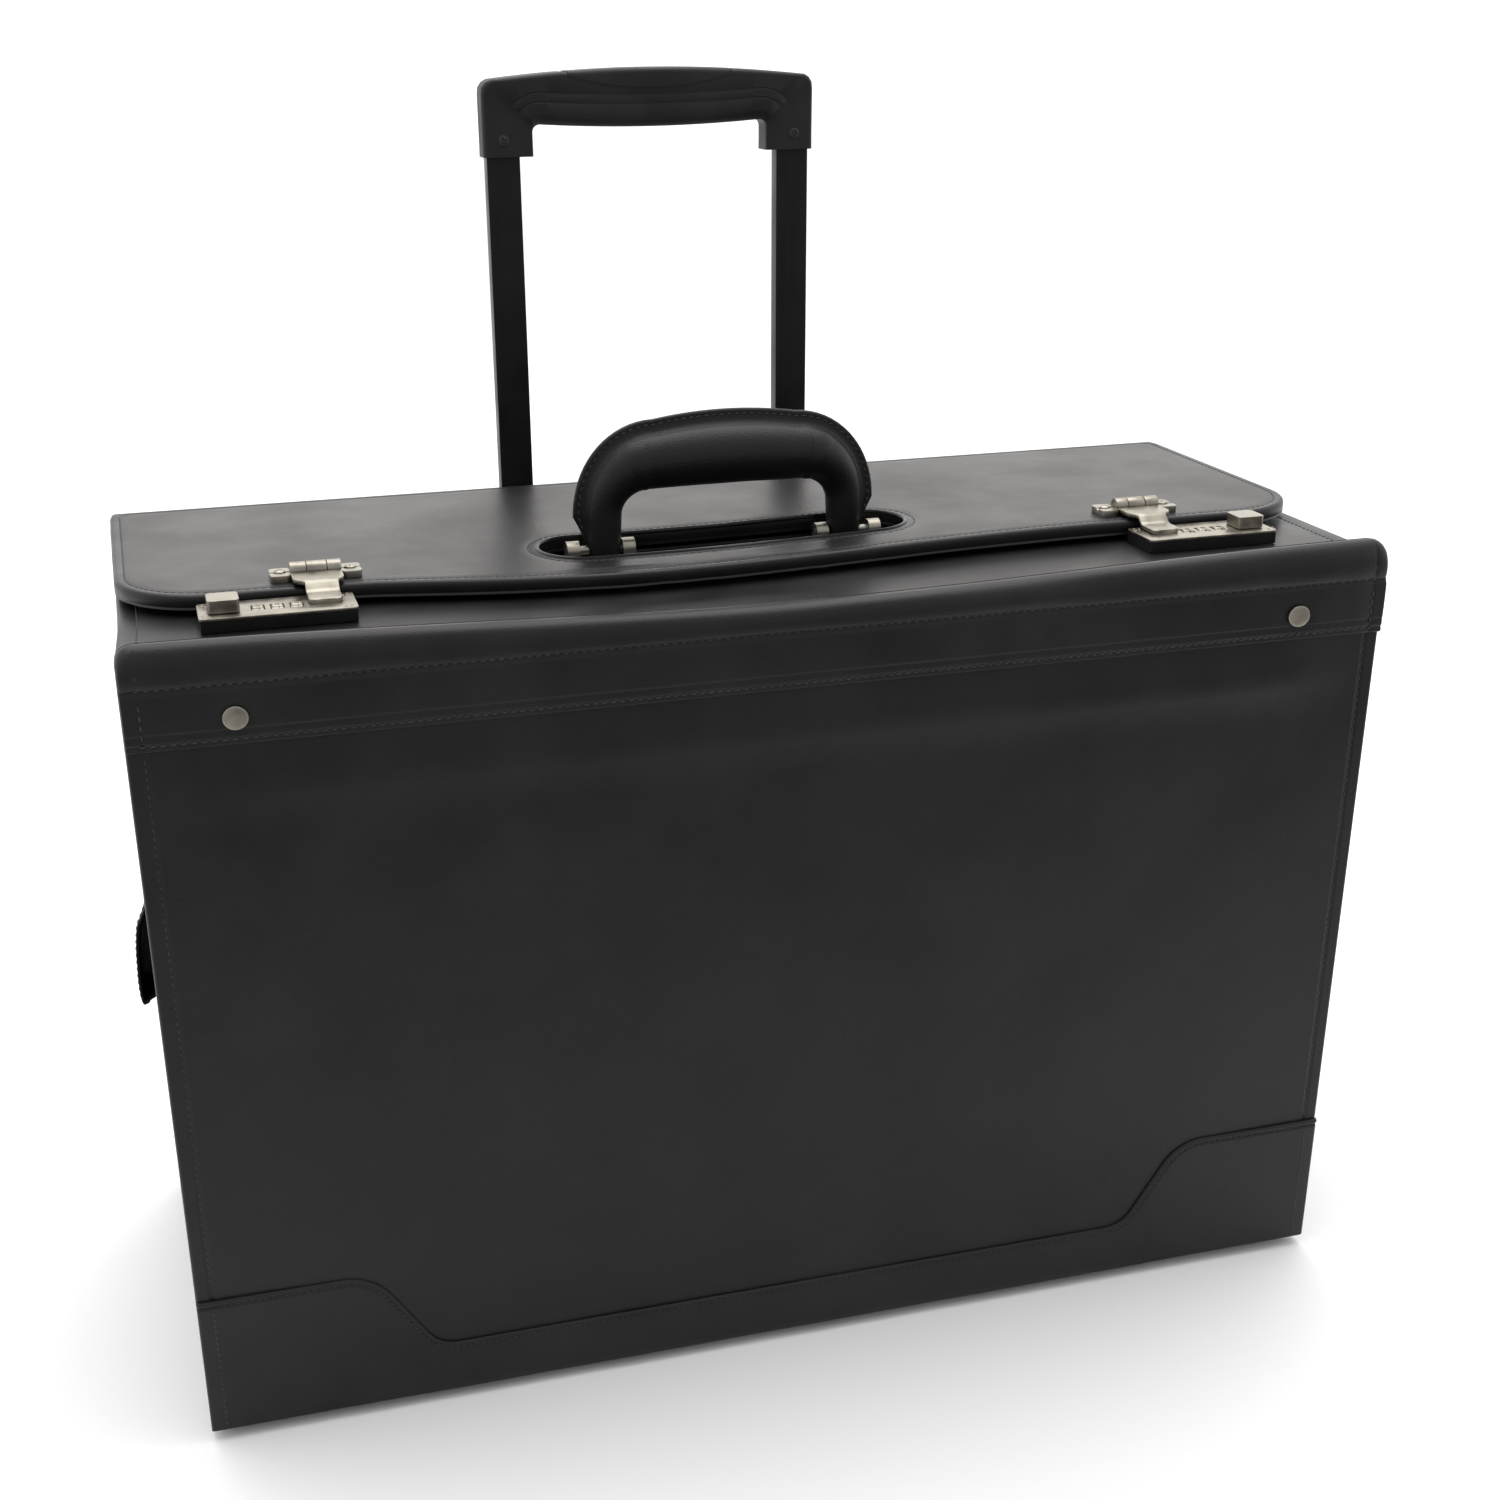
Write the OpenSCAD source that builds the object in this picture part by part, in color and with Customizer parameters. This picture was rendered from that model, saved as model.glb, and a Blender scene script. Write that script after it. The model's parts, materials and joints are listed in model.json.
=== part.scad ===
// Rolling pilot case: a hard-sided leather-covered box with a rear-hinged lid, two combination
// locks, a fold-down carry handle, a snap-closed front pocket, two wheels and a pull-up trolley.
// Measurements run in case coordinates: x from the left wall, y from the front panel to the rear,
// z from the underside of the box. on_floor() moves them to the part's own origin, which is the
// middle of the footprint on the floor.

/* [Case] */
// Width of the box
case_w = 552; // [480:1:600]
// Depth of the box without the trolley
case_d = 228; // [216:1:250]
// Height of the closed lid's top face
case_h = 369; // [350:1:400]
// Height of the box above the floor
foot_h = 5; // [4:0.5:8]
// Thickness of the wall boards
board_t = 4; // [3:0.5:5]
// Thickness of the outer leather
skin_t = 1.2; // [0.8:0.1:1.5]
// Thickness of the inner lining
lining_t = 0.5; // [0.4:0.1:0.6]

/* [Front pocket] */
// Thickness of the pocket's leather front panel
panel_t = 2.5; // [2:0.1:3]
// Clear depth of the pocket
pocket_gap = 6; // [5:0.5:8]
// Height of the front panel's top edge
panel_top = 342; // [335:1:344]
// Height of the line where the pocket flap hinges
flap_hinge_z = 349.7; // [349:0.1:350]
// Length of the pocket flap
pocket_flap_l = 25.2; // [20:0.1:30]
// Thickness of the pocket flap
pocket_flap_t = 2; // [1.5:0.1:2]
// Distance of each snap from the side
snap_x = 42; // [30:1:60]
// Height of the snaps
snap_z = 336; // [333:1:337]

/* [Lid] */
// Thickness of the lid
lid_t = 8; // [7:0.5:9]
// Distance of the lid's front edge from the front panel
lid_front = 62; // [61:0.5:64]
// Radius of the lid's front corners
lid_corner_r = 40; // [20:1:60]
// Half width of the slot for the carry handle
slot_half_w = 93; // [86:1:100]
// Front edge of the slot
slot_front = 88.5; // [86:0.5:90]
// Rear edge of the slot
slot_rear = 125.5; // [124:0.5:130]

/* [Locks] */
// Distance of a lock's outer end from the side
lock_x = 32; // [20:1:60]
// Length of a lock plate
lock_l = 64.5; // [64:0.5:70]
// Front edge of the lock plates
lock_y = 35; // [33:0.5:35]
// Depth of the lock plates
lock_d = 24.5; // [24:0.5:26]
// Top of the lock plates below the lid's top face
lock_drop = 2.8; // [2.5:0.1:3]
// Radius of the dials
dial_r = 4; // [3.8:0.1:4.2]
// Width of the dials
dial_w = 5; // [4:0.5:5.5]
// Spacing of the dials
dial_pitch = 7.9; // [7.5:0.1:9]
// Travel of the sliding buttons
lock_travel = 4; // [2:0.5:4]

/* [Carry handle] */
// Distance of each leg from the middle
leg_x = 58; // [57.5:0.5:58.5]
// Radius of the legs
leg_r = 7.7; // [7:0.1:7.7]
// Radius of the hand grip
grip_r = 14; // [12:0.5:15]
// Height of the pivots
pivot_z = 362.5; // [362.4:0.1:363]
// Depth position of the pivots
pivot_y = 112; // [110:0.5:113]
// Radius of the handle's bend
bend_r = 24; // [20:1:26]

/* [Trolley] */
// Width of an inner tube
tube_w = 16.3; // [14:0.1:18]
// Depth of an inner tube
tube_d = 11; // [10:0.5:12]
// Wall of each tube
tube_wall = 1.2; // [1:0.1:1.5]
// Gap between nested tubes
tube_gap = 0.3; // [0.25:0.05:0.4]
// Distance of each tube's middle from the case's middle
tube_x = 73.5; // [65:0.5:90]
// Height of the grip's lower ends with the trolley half drawn out
grip_low = 525; // [440:1:560]
// Overall width of the trolley grip
grip_w = 171; // [165:1:190]

/* [Wheels] */
// Radius of the wheels
wheel_r = 25; // [24:0.5:26]
// Width of the tyres
tyre_w = 20; // [16:1:21]
// Radius of the axles
axle_r = 3; // [2.5:0.1:4]

/* [Hidden] */
$fn = 64;

leather = [0.13, 0.13, 0.14];
soft_black = [0.09, 0.09, 0.1];
nickel = [0.75, 0.73, 0.68];
fibre = [0.45, 0.36, 0.26];
cloth = [0.2, 0.2, 0.22];

far = 1000;
eps = 0.01;
clear = 0.3;
mid_x = case_w / 2;

// reach of the outermost pieces past the box, which sets the origin
strap_reach = 13;
cap_reach = 4;
trolley_y = case_d + 15;
trolley_half_d = 13;
trolley_reach = trolley_y + trolley_half_d - case_d;
origin_x = (case_w - strap_reach) / 2;
origin_y = (case_d + trolley_reach - cap_reach) / 2;

// front to rear
front_y = panel_t + pocket_gap;
front_in = front_y + board_t;
back_in = case_d - skin_t - board_t;
side_in = skin_t + board_t;
flap_rear = slot_rear + 12.5;

// heights of the layers under the lid
lid_low = case_h - lid_t;
strip_top = lid_low - 1;
strip_low = strip_top - 6;
wall_top = lid_low - clear;
flap_low = strip_low - 6;
ridge_low = flap_hinge_z + clear;
ridge_top = strip_top + 6;

// wheel wells in the rear bottom corners
well_w = 50;
well_y = case_d - 50;
well_h = 56;
wheel_x = 25.3;
wheel_y = case_d - 11;
wheel_z = wheel_r - foot_h;
wheel_gap = 3;

// locks
lock_top = case_h - lock_drop;
plate_t = 1.2;
dial_y = lock_y + 12;
dial_z = lock_top + 0.8 - dial_r;
dial_x = lock_x + 24.4;
dial_gap = 0.3;
shaft_r = 1;
shaft_run = 0.05;
button_x = lock_x + 4;
button_s = 13;
stem_x = button_x + 6;
stem_l = 5;
stem_d = 6;

// hasps
barrel_x = lock_x + 40.7;
barrel_l = 21.5;
barrel_r = 3.5;
barrel_y = lid_front + 16;
barrel_z = case_h + barrel_r + 0.1;
knuckle_low = barrel_x + 7;
knuckle_high = barrel_x + 15.5;
wing_w = 8.5;
hasp_pin_r = 1.5;
tongue_w = 12.5;

// carry handle
bend_x = leg_x - bend_r;
bend_z = pivot_z + 15.5;
widen_z = pivot_z + 6.5;
core_r = 3;
eye_r = 5;
pin_r = 2;
ear_w = 6;
ear_r = case_h - 2 - pivot_z;
fin_t = 3;

// trolley
grow_mid = tube_gap + tube_wall;
grow_outer = 2 * grow_mid;
bracket_w = 184;
bracket_top = 330;
bracket_rim = 5;
bracket_low = 42;
tube_foot = 48;
inner_foot = 250;
tube_head = grip_low + 20;
leg_w = 25;
grip_h = 43;
arch_rise = 5;
screw_z = grip_low + 9;
rod_r = 1.5;
rod_x = tube_x - 4.5;
press_travel = 4;

// ---------------------------------------------------------------- shared shapes

module on_floor() {
    translate([-origin_x, -origin_y, foot_h]) children();
}

// from one corner to the opposite one
module block(low, high) {
    translate(low) cube(high - low);
}

module both_sides() {
    children();
    translate([case_w, 0, 0]) mirror([1, 0, 0]) children();
}

module right_side() {
    translate([case_w, 0, 0]) mirror([1, 0, 0]) children();
}

module rod_x_wards(low, high, y, z, r) {
    translate([low, y, z]) rotate([0, 90, 0]) cylinder(h = high - low, r = r);
}

module rod_y_wards(x, low, high, z, r) {
    translate([x, high, z]) rotate([90, 0, 0]) cylinder(h = high - low, r = r);
}

// rectangle with round corners
module round_rect(low, high, r) {
    translate(low + [r, 0]) square([high.x - low.x - 2 * r, high.y - low.y]);
    translate(low + [0, r]) square([high.x - low.x, high.y - low.y - 2 * r]);
    for (x = [low.x + r, high.x - r])
        for (y = [low.y + r, high.y - r])
            translate([x, y]) circle(r);
}

module round_block(low, high, r) {
    translate([0, 0, low.z])
        linear_extrude(high.z - low.z)
            round_rect([low.x, low.y], [high.x, high.y], r);
}

// the space that both wheel housings take out of the box
module wells(grow = 0) {
    both_sides()
        block([-far, well_y - grow, -far], [well_w + grow, far, well_h + grow]);
}

// the bracket screws' holes, through the rear wall
module screw_holes(r) {
    for (x = [-45, -20, 20, 45])
        for (z = [bracket_top - 16, bracket_low + 9])
            rod_y_wards(mid_x + x, case_d - 5, case_d + 26, z, r);
}

// ---------------------------------------------------------------- the box

module side_profile(low) {
    polygon([
        [front_y, low], [back_in + board_t, low], [back_in + board_t, wall_top],
        [flap_rear + clear, wall_top], [flap_rear + clear, strip_low], [front_y, strip_low]
    ]);
}

module side_slab(from, to) {
    translate([from, 0, 0])
        rotate([90, 0, 90])
            linear_extrude(to - from)
                side_profile(skin_t);
}

module side_boards() {
    color(fibre) on_floor() difference() {
        both_sides() side_slab(skin_t, side_in);
        wells();
    }
}

module side_covers() {
    color(leather) on_floor() difference() {
        both_sides() side_slab(0, skin_t);
        wells();
    }
}

module back_board() {
    color(fibre) on_floor() difference() {
        block([side_in, back_in, skin_t], [case_w - side_in, back_in + board_t, wall_top]);
        wells();
        screw_holes(pin_r);
    }
}

module back_cover() {
    color(leather) on_floor() difference() {
        block([0, case_d - skin_t, 0], [case_w, case_d, wall_top]);
        wells();
        screw_holes(pin_r);
    }
}

module bottom_board() {
    color(fibre) on_floor() difference() {
        block([side_in, front_in, skin_t], [case_w - side_in, back_in, side_in]);
        wells();
    }
}

module bottom_cover() {
    color(soft_black) on_floor() difference() {
        block([0, front_y, 0], [case_w, case_d - skin_t, skin_t]);
        wells();
    }
}

module front_board() {
    color(fibre) on_floor()
        block([side_in, front_y, skin_t], [case_w - side_in, front_in, strip_low]);
}

module lining() {
    inner_low = [side_in, front_in, side_in];
    inner_high = [case_w - side_in, back_in, flap_low - clear];
    color(cloth) on_floor() difference() {
        block(inner_low, inner_high);
        translate([0, 0, 1])
            block(inner_low + [lining_t, lining_t, lining_t - 1],
                  inner_high - [lining_t, lining_t, 0]);
        wells();
    }
}

// ---------------------------------------------------------------- front pocket

module front_pocket_panel() {
    color(leather) on_floor()
        block([0, 0, 0], [case_w, panel_t, panel_top]);
}

module pocket_gusset() {
    seam = 3;
    color(leather) on_floor() difference() {
        block([0, panel_t, 0], [case_w, front_y, panel_top]);
        block([seam, panel_t - 1, seam], [case_w - seam, front_y + 1, far]);
    }
}

module front_ridge() {
    roll_r = front_y / 2;
    color(leather) on_floor() {
        block([0, 0, ridge_low], [case_w, front_y, ridge_top - roll_r]);
        rod_x_wards(0, case_w, roll_r, ridge_top - roll_r, roll_r);
    }
}

// stepped trim, high at the sides and low across the middle
module front_base_trim() {
    trim_t = 1.5;
    side_h = 69;
    mid_h = 26;
    step_from = 66;
    step_w = 47;
    steps = 16;
    function ease(u) = u * u * (3 - 2 * u);
    ramp = [for (i = [0:steps])
        [step_from + step_w * i / steps, side_h - (side_h - mid_h) * ease(i / steps)]];
    color(leather) on_floor() both_sides()
        rotate([90, 0, 0])
            linear_extrude(trim_t)
                polygon(concat([[0, 0], [0, side_h]], ramp, [[mid_x, mid_h], [mid_x, 0]]));
}

module snap_studs() {
    stud_r = 3;
    color(nickel) on_floor() both_sides()
        rod_y_wards(snap_x, -pocket_flap_t - clear + 0.1, 0, snap_z, stud_r);
}

module pocket_flap() {
    color(leather) on_floor() difference() {
        block([0, -pocket_flap_t - clear, flap_hinge_z - pocket_flap_l],
              [case_w, -clear, flap_hinge_z]);
        both_sides() rod_y_wards(snap_x, -far, far, snap_z, 3 + clear);
    }
}

module snap_caps() {
    cap_r = 5;
    color(nickel) on_floor() both_sides()
        rod_y_wards(snap_x, -cap_reach, -pocket_flap_t - clear, snap_z, cap_r);
}

// ---------------------------------------------------------------- inner flap, locks and handle mounts

module inner_flap_board() {
    color(fibre) on_floor() difference() {
        block([side_in + clear, front_in + clear, flap_low],
              [case_w - side_in - clear, flap_rear, strip_low]);
        bracket_feet();
    }
}

// leather top of the inner flap, cut out around the handle mounts and relieved under the dials
module inner_flap_cover() {
    recess_half_w = slot_half_w + 4;
    recess_r = (slot_rear - slot_front) / 2 + 4;
    color(leather) on_floor() difference() {
        block([0, front_y, strip_low], [case_w, flap_rear, strip_top]);
        translate([0, 0, strip_low - 1]) linear_extrude(far)
            round_rect([mid_x - recess_half_w, slot_front - 4],
                       [mid_x + recess_half_w, slot_rear + 4], recess_r - eps);
        both_sides()
            block([dial_x - 4, dial_y - dial_r - 0.4, strip_top - 1.5],
                  [dial_x + 2 * dial_pitch + 4, dial_y + dial_r + 0.4, far]);
    }
}

module dial_spaces(reach) {
    for (i = [0:2])
        translate([dial_x + i * dial_pitch, dial_y, 0])
            block([-dial_w / 2 - dial_gap, -reach, -far], [dial_w / 2 + dial_gap, reach, far]);
}

module stem_space() {
    block([stem_x - lock_travel - clear, dial_y - stem_d / 2 - clear, -far],
          [stem_x + stem_l + clear, dial_y + stem_d / 2 + clear, far]);
}

module staple_space() {
    block([barrel_x + 7.5, lock_y + 10, -far], [barrel_x + 14, lock_y + 15.5, far]);
}

module lock_bases() {
    color(soft_black) on_floor() both_sides() difference() {
        block([lock_x + 0.5, lock_y + 0.5, strip_top],
              [lock_x + lock_l - 0.5, lock_y + lock_d - 0.5, lock_top - plate_t]);
        dial_spaces(dial_r + 0.4);
        stem_space();
        staple_space();
        rod_x_wards(dial_x - 6, dial_x + 2 * dial_pitch + 6, dial_y, dial_z, shaft_r);
    }
}

module lock_plates() {
    color(nickel) on_floor() both_sides() difference() {
        round_block([lock_x, lock_y, lock_top - plate_t],
                    [lock_x + lock_l, lock_y + lock_d, lock_top], 2);
        dial_spaces(dial_r - 0.2);
        stem_space();
        staple_space();
    }
}

module dial_shafts() {
    color(nickel) on_floor() both_sides()
        rod_x_wards(dial_x - 6, dial_x + 2 * dial_pitch + 6, dial_y, dial_z, shaft_r);
}

module dial(i) {
    x = dial_x + i * dial_pitch;
    difference() {
        rod_x_wards(x - dial_w / 2, x + dial_w / 2, dial_y, dial_z, dial_r);
        rod_x_wards(-far, far, dial_y, dial_z, shaft_r + shaft_run);
    }
}

module dial_left(i) {
    color(nickel) on_floor() dial(i);
}

module dial_right(i) {
    color(nickel) on_floor() right_side() dial(i);
}

module lock_button() {
    round_block([button_x, dial_y - button_s / 2, lock_top + clear],
                [button_x + button_s, dial_y + button_s / 2, lock_top + 5.8], 2);
    block([stem_x, dial_y - stem_d / 2, strip_top + 0.5],
          [stem_x + stem_l, dial_y + stem_d / 2, lock_top + 1]);
}

module lock_button_left() {
    color(nickel) on_floor() lock_button();
}

module lock_button_right() {
    color(nickel) on_floor() right_side() lock_button();
}

module bracket_feet() {
    foot_t = 1.5;
    both_sides()
        block([mid_x - leg_x - 20, pivot_y - 8, strip_low - foot_t],
              [mid_x - leg_x + 16, pivot_y + 8, strip_low]);
}

// ears that hold the pivot pin on both sides of each leg
module handle_brackets() {
    color(nickel) on_floor() {
        bracket_feet();
        both_sides()
            for (x = [mid_x - leg_x - 18, mid_x - leg_x + 8])
                difference() {
                    union() {
                        block([x, pivot_y - ear_r, strip_low], [x + ear_w, pivot_y + ear_r, pivot_z]);
                        rod_x_wards(x, x + ear_w, pivot_y, pivot_z, ear_r);
                    }
                    rod_x_wards(-far, far, pivot_y, pivot_z, pin_r);
                }
    }
}

module handle_pins() {
    color(nickel) on_floor() both_sides()
        rod_x_wards(mid_x - leg_x - 18, mid_x - leg_x + 14, pivot_y, pivot_z, pin_r);
}

// ---------------------------------------------------------------- carry handle

// a round bar along the handle's line: two legs that widen above the ears, two bends and the
// straight top, each with its own radius
module handle_line(foot, leg, bend, top) {
    translate([mid_x, pivot_y, 0]) {
        for (s = [-1, 1]) {
            translate([s * leg_x, 0, foot]) cylinder(h = widen_z - foot, r = leg);
            translate([s * leg_x, 0, widen_z]) cylinder(h = bend_z - widen_z, r1 = leg, r2 = bend);
            translate([s * bend_x, 0, bend_z]) rotate([90, 0, 0])
                rotate([0, 0, s > 0 ? 0 : 90])
                    rotate_extrude(angle = 90) translate([bend_r, 0]) circle(bend);
        }
    }
    rod_x_wards(mid_x - bend_x, mid_x + bend_x, pivot_y, bend_z + bend_r, top);
}

module core_shape() {
    handle_line(pivot_z, core_r, core_r, core_r);
    for (s = [-1, 1])
        rod_x_wards(mid_x + s * leg_x - 3, mid_x + s * leg_x + 3, pivot_y, pivot_z, eye_r);
}

module carry_handle_core() {
    color(nickel) on_floor() difference() {
        core_shape();
        rod_x_wards(-far, far, pivot_y, pivot_z, pin_r + shaft_run);
    }
}

// stitched edge standing out along the outside of the bend
module handle_fin() {
    fin_in = bend_r + 8;
    fin_out = bend_r + 19;
    translate([mid_x, pivot_y + fin_t / 2, bend_z]) rotate([90, 0, 0]) linear_extrude(fin_t) {
        for (s = [-1, 1])
            translate([s * bend_x, 0]) intersection() {
                difference() {
                    circle(fin_out);
                    circle(fin_in);
                }
                translate([s > 0 ? 0 : -fin_out, 0]) square(fin_out);
            }
        translate([-bend_x, fin_in]) square([2 * bend_x, fin_out - fin_in]);
    }
}

module carry_handle_grip() {
    color(leather) on_floor() difference() {
        union() {
            handle_line(pivot_z - 3, leg_r, leg_r + 3.5, grip_r);
            handle_fin();
        }
        core_shape();
        rod_x_wards(-far, far, pivot_y, pivot_z, pin_r + 0.6);
    }
}

// ---------------------------------------------------------------- side strap

// slack strap: flat tabs on the wall above and below an outward loop
module side_strap() {
    strap_w = 26;
    strap_y = 115;
    strap_t = 2.4;
    tab_t = 1.6;
    loop_z = 189;
    loop_h = 28;
    tab_l = 19;
    reach = strap_reach - strap_t / 2;
    steps = 20;
    function bow(a) = pow(max(cos(a), 0), 0.7);
    outer = [for (i = [0:steps])
        let (a = 90 - 180 * i / steps)
        [-(reach + strap_t / 2) * bow(a), loop_z + loop_h * sin(a)]];
    inner = [for (i = [0:steps])
        let (a = -90 + 180 * i / steps)
        [-(reach - strap_t / 2) * bow(a) - eps, loop_z + (loop_h - strap_t) * sin(a)]];
    color(leather) on_floor()
        translate([0, strap_y + strap_w / 2, 0]) rotate([90, 0, 0]) linear_extrude(strap_w) {
            polygon(concat(outer, inner));
            translate([-tab_t, loop_z + loop_h - strap_t]) square([tab_t, tab_l]);
            translate([-tab_t, loop_z - loop_h + strap_t - tab_l]) square([tab_t, tab_l]);
        }
}

module side_strap_rivets() {
    color(nickel) on_floor()
        for (z = [227, 151])
            rod_x_wards(-3.2, -1.6, 115, z, 4);
}

// ---------------------------------------------------------------- wheels and feet

module wheel_housings() {
    inner_half = tyre_w / 2 + 2.3;
    color(soft_black) on_floor() both_sides() difference() {
        block([0, well_y, -2], [well_w, case_d + 4, well_h]);
        rod_x_wards(wheel_x - inner_half, wheel_x + inner_half, wheel_y, wheel_z, wheel_r + wheel_gap);
        block([wheel_x - inner_half, wheel_y, -far],
              [wheel_x + inner_half, far, wheel_z + wheel_r + wheel_gap]);
        block([wheel_x - inner_half, wheel_y - wheel_r - wheel_gap, -far],
              [wheel_x + inner_half, far, wheel_z]);
        rod_x_wards(3, well_w - 3, wheel_y, wheel_z, axle_r);
    }
}

module wheel_axles() {
    color(nickel) on_floor() both_sides()
        rod_x_wards(3, well_w - 3, wheel_y, wheel_z, axle_r);
}

module tyre() {
    edge = 4;
    rim_r = wheel_r - 5;
    translate([wheel_x, wheel_y, wheel_z]) rotate([0, 90, 0]) rotate_extrude() difference() {
        union() {
            translate([rim_r, -tyre_w / 2]) square([wheel_r - rim_r - edge, tyre_w]);
            translate([rim_r, -tyre_w / 2 + edge]) square([wheel_r - rim_r, tyre_w - 2 * edge]);
            for (y = [-tyre_w / 2 + edge, tyre_w / 2 - edge])
                translate([wheel_r - edge, y]) circle(edge);
        }
        translate([0, -tyre_w]) square([rim_r, 2 * tyre_w]);
    }
}

module hub() {
    rim_r = wheel_r - 5;
    hub_half = tyre_w / 2 + 1;
    difference() {
        union() {
            rod_x_wards(wheel_x - tyre_w / 2, wheel_x + tyre_w / 2, wheel_y, wheel_z, rim_r);
            rod_x_wards(wheel_x - hub_half, wheel_x + hub_half, wheel_y, wheel_z, 7);
        }
        for (s = [-1, 1])
            translate([wheel_x + s * (tyre_w / 2 - 2), wheel_y, wheel_z])
                rotate([0, s * 90, 0]) difference() {
                    cylinder(h = far, r = rim_r - 2.5);
                    translate([0, 0, -1]) cylinder(h = far, r = 7);
                }
        rod_x_wards(-far, far, wheel_y, wheel_z, axle_r + shaft_run);
    }
}

module tyre_left() { color(soft_black) on_floor() tyre(); }
module tyre_right() { color(soft_black) on_floor() right_side() tyre(); }
module hub_left() { color("dimgray") on_floor() hub(); }
module hub_right() { color("dimgray") on_floor() right_side() hub(); }

module front_feet() {
    color(soft_black) on_floor() both_sides()
        translate([45, 32, -foot_h]) cylinder(h = foot_h, r = 9);
}

// ---------------------------------------------------------------- trolley

// two square tubes, grown from the inner tube's outside
module tube_pair(grow, low, high) {
    both_sides()
        translate([mid_x - tube_x, trolley_y, 0])
            block([-tube_w / 2 - grow, -tube_d / 2 - grow, low],
                  [tube_w / 2 + grow, tube_d / 2 + grow, high]);
}

module tubes(grow, low, high) {
    difference() {
        tube_pair(grow, low, high);
        tube_pair(grow - tube_wall, low - 1, high + 1);
    }
}

module outer_tubes() {
    color(soft_black) on_floor() tubes(grow_outer, tube_foot, bracket_top - bracket_rim);
}

module mid_tubes() {
    color(soft_black) on_floor() tubes(grow_mid, tube_foot + 2, bracket_top);
}

module inner_tubes() {
    color(soft_black) on_floor() difference() {
        tubes(0, inner_foot, tube_head);
        grip_screw_shapes(pin_r);
    }
}

module top_bracket() {
    color(soft_black) on_floor() difference() {
        round_block([mid_x - bracket_w / 2, case_d, bracket_top - 32],
                    [mid_x + bracket_w / 2, case_d + 26, bracket_top], 4);
        tube_pair(grow_outer, -far, bracket_top - bracket_rim);
        tube_pair(grow_mid + tube_gap, -far, far);
        screw_holes(pin_r);
    }
}

module bottom_bracket() {
    color(soft_black) on_floor() difference() {
        round_block([mid_x - bracket_w / 2, case_d, bracket_low],
                    [mid_x + bracket_w / 2, case_d + 26, bracket_low + 18], 4);
        tube_pair(grow_outer, tube_foot, far);
        screw_holes(pin_r);
    }
}

module bracket_screws() {
    color(nickel) on_floor() {
        screw_holes(pin_r);
        for (x = [-45, -20, 20, 45])
            for (z = [bracket_top - 16, bracket_low + 9])
                rod_y_wards(mid_x + x, case_d + 26, case_d + 27.8, z, 4);
    }
}

// outline of the trolley grip: arched top, two legs
module grip_outline() {
    corner = 7;
    half = grip_w / 2;
    shoulder_z = grip_low + grip_h - arch_rise;
    chord = half - corner;
    arch_r = (chord * chord + arch_rise * arch_rise) / (2 * arch_rise);
    difference() {
        union() {
            intersection() {
                translate([0, grip_low + grip_h - arch_r]) circle(arch_r, $fn = 180);
                translate([-chord, grip_low]) square([2 * chord, grip_h]);
            }
            translate([-half, grip_low]) square([grip_w, grip_h - arch_rise - corner]);
            for (s = [-1, 1])
                translate([s * chord, shoulder_z - corner]) circle(corner);
        }
        round_rect([-half + leg_w, grip_low - 30], [half - leg_w, grip_low + 13], 8);
    }
}

module grip_hollows() {
    base_low = grip_low + 23;
    tube_pair(0, -far, tube_head);
    block([mid_x - tube_x + 1, trolley_y - 3.4, tube_head - 1],
          [mid_x + tube_x - 1, trolley_y + 3.4, grip_low + 28.5]);
    block([mid_x - 33, trolley_y - 6.5, base_low], [mid_x + 33, trolley_y + 6.5, grip_low + 32]);
    block([mid_x - 30.3, trolley_y - 5.8, base_low], [mid_x + 30.3, trolley_y + 5.8, far]);
    grip_screw_shapes(pin_r);
}

module grip_screw_shapes(r) {
    both_sides()
        rod_y_wards(mid_x - tube_x, trolley_y - trolley_half_d, trolley_y + 10, screw_z, r);
}

module grip_shell(low, high) {
    difference() {
        translate([mid_x, high, 0]) rotate([90, 0, 0]) linear_extrude(high - low) grip_outline();
        grip_hollows();
    }
}

module grip_front_shell() {
    color(soft_black) on_floor() grip_shell(trolley_y - trolley_half_d, trolley_y);
}

module grip_rear_shell() {
    color(soft_black) on_floor() grip_shell(trolley_y, trolley_y + trolley_half_d);
}

module grip_screws() {
    color("dimgray") on_floor() grip_screw_shapes(pin_r);
}

module grip_button() {
    color(soft_black) on_floor() {
        block([mid_x - 32.5, trolley_y - 6.2, grip_low + 28.2],
              [mid_x + 32.5, trolley_y + 6.2, grip_low + 31.5]);
        round_block([mid_x - 30, trolley_y - 5.5, grip_low + 31],
                    [mid_x + 30, trolley_y + 5.5, grip_low + grip_h + 0.5], 4);
    }
}

module release_rods() {
    color(nickel) on_floor() {
        block([mid_x - rod_x - 2.5, trolley_y - 3, grip_low + 24.7],
              [mid_x + rod_x + 2.5, trolley_y + 3, grip_low + 28.2]);
        both_sides()
            translate([mid_x - rod_x, trolley_y, inner_foot + press_travel + 1])
                cylinder(h = grip_low + 25 - inner_foot - press_travel - 1, r = rod_r);
    }
}

// ---------------------------------------------------------------- lid and hasps

module lid_outline(inset) {
    r = lid_corner_r - inset;
    low = [inset, lid_front + inset];
    high = [case_w - inset, case_d - inset];
    translate([low.x, low.y + r]) square([high.x - low.x, high.y - low.y - r]);
    translate([low.x + r, low.y]) square([high.x - low.x - 2 * r, high.y - low.y]);
    for (x = [low.x + r, high.x - r])
        translate([x, low.y + r]) circle(r);
}

module slot_outline(grow) {
    round_rect([mid_x - slot_half_w - grow, slot_front - grow],
               [mid_x + slot_half_w + grow, slot_rear + grow],
               (slot_rear - slot_front) / 2 + grow - eps);
}

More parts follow.
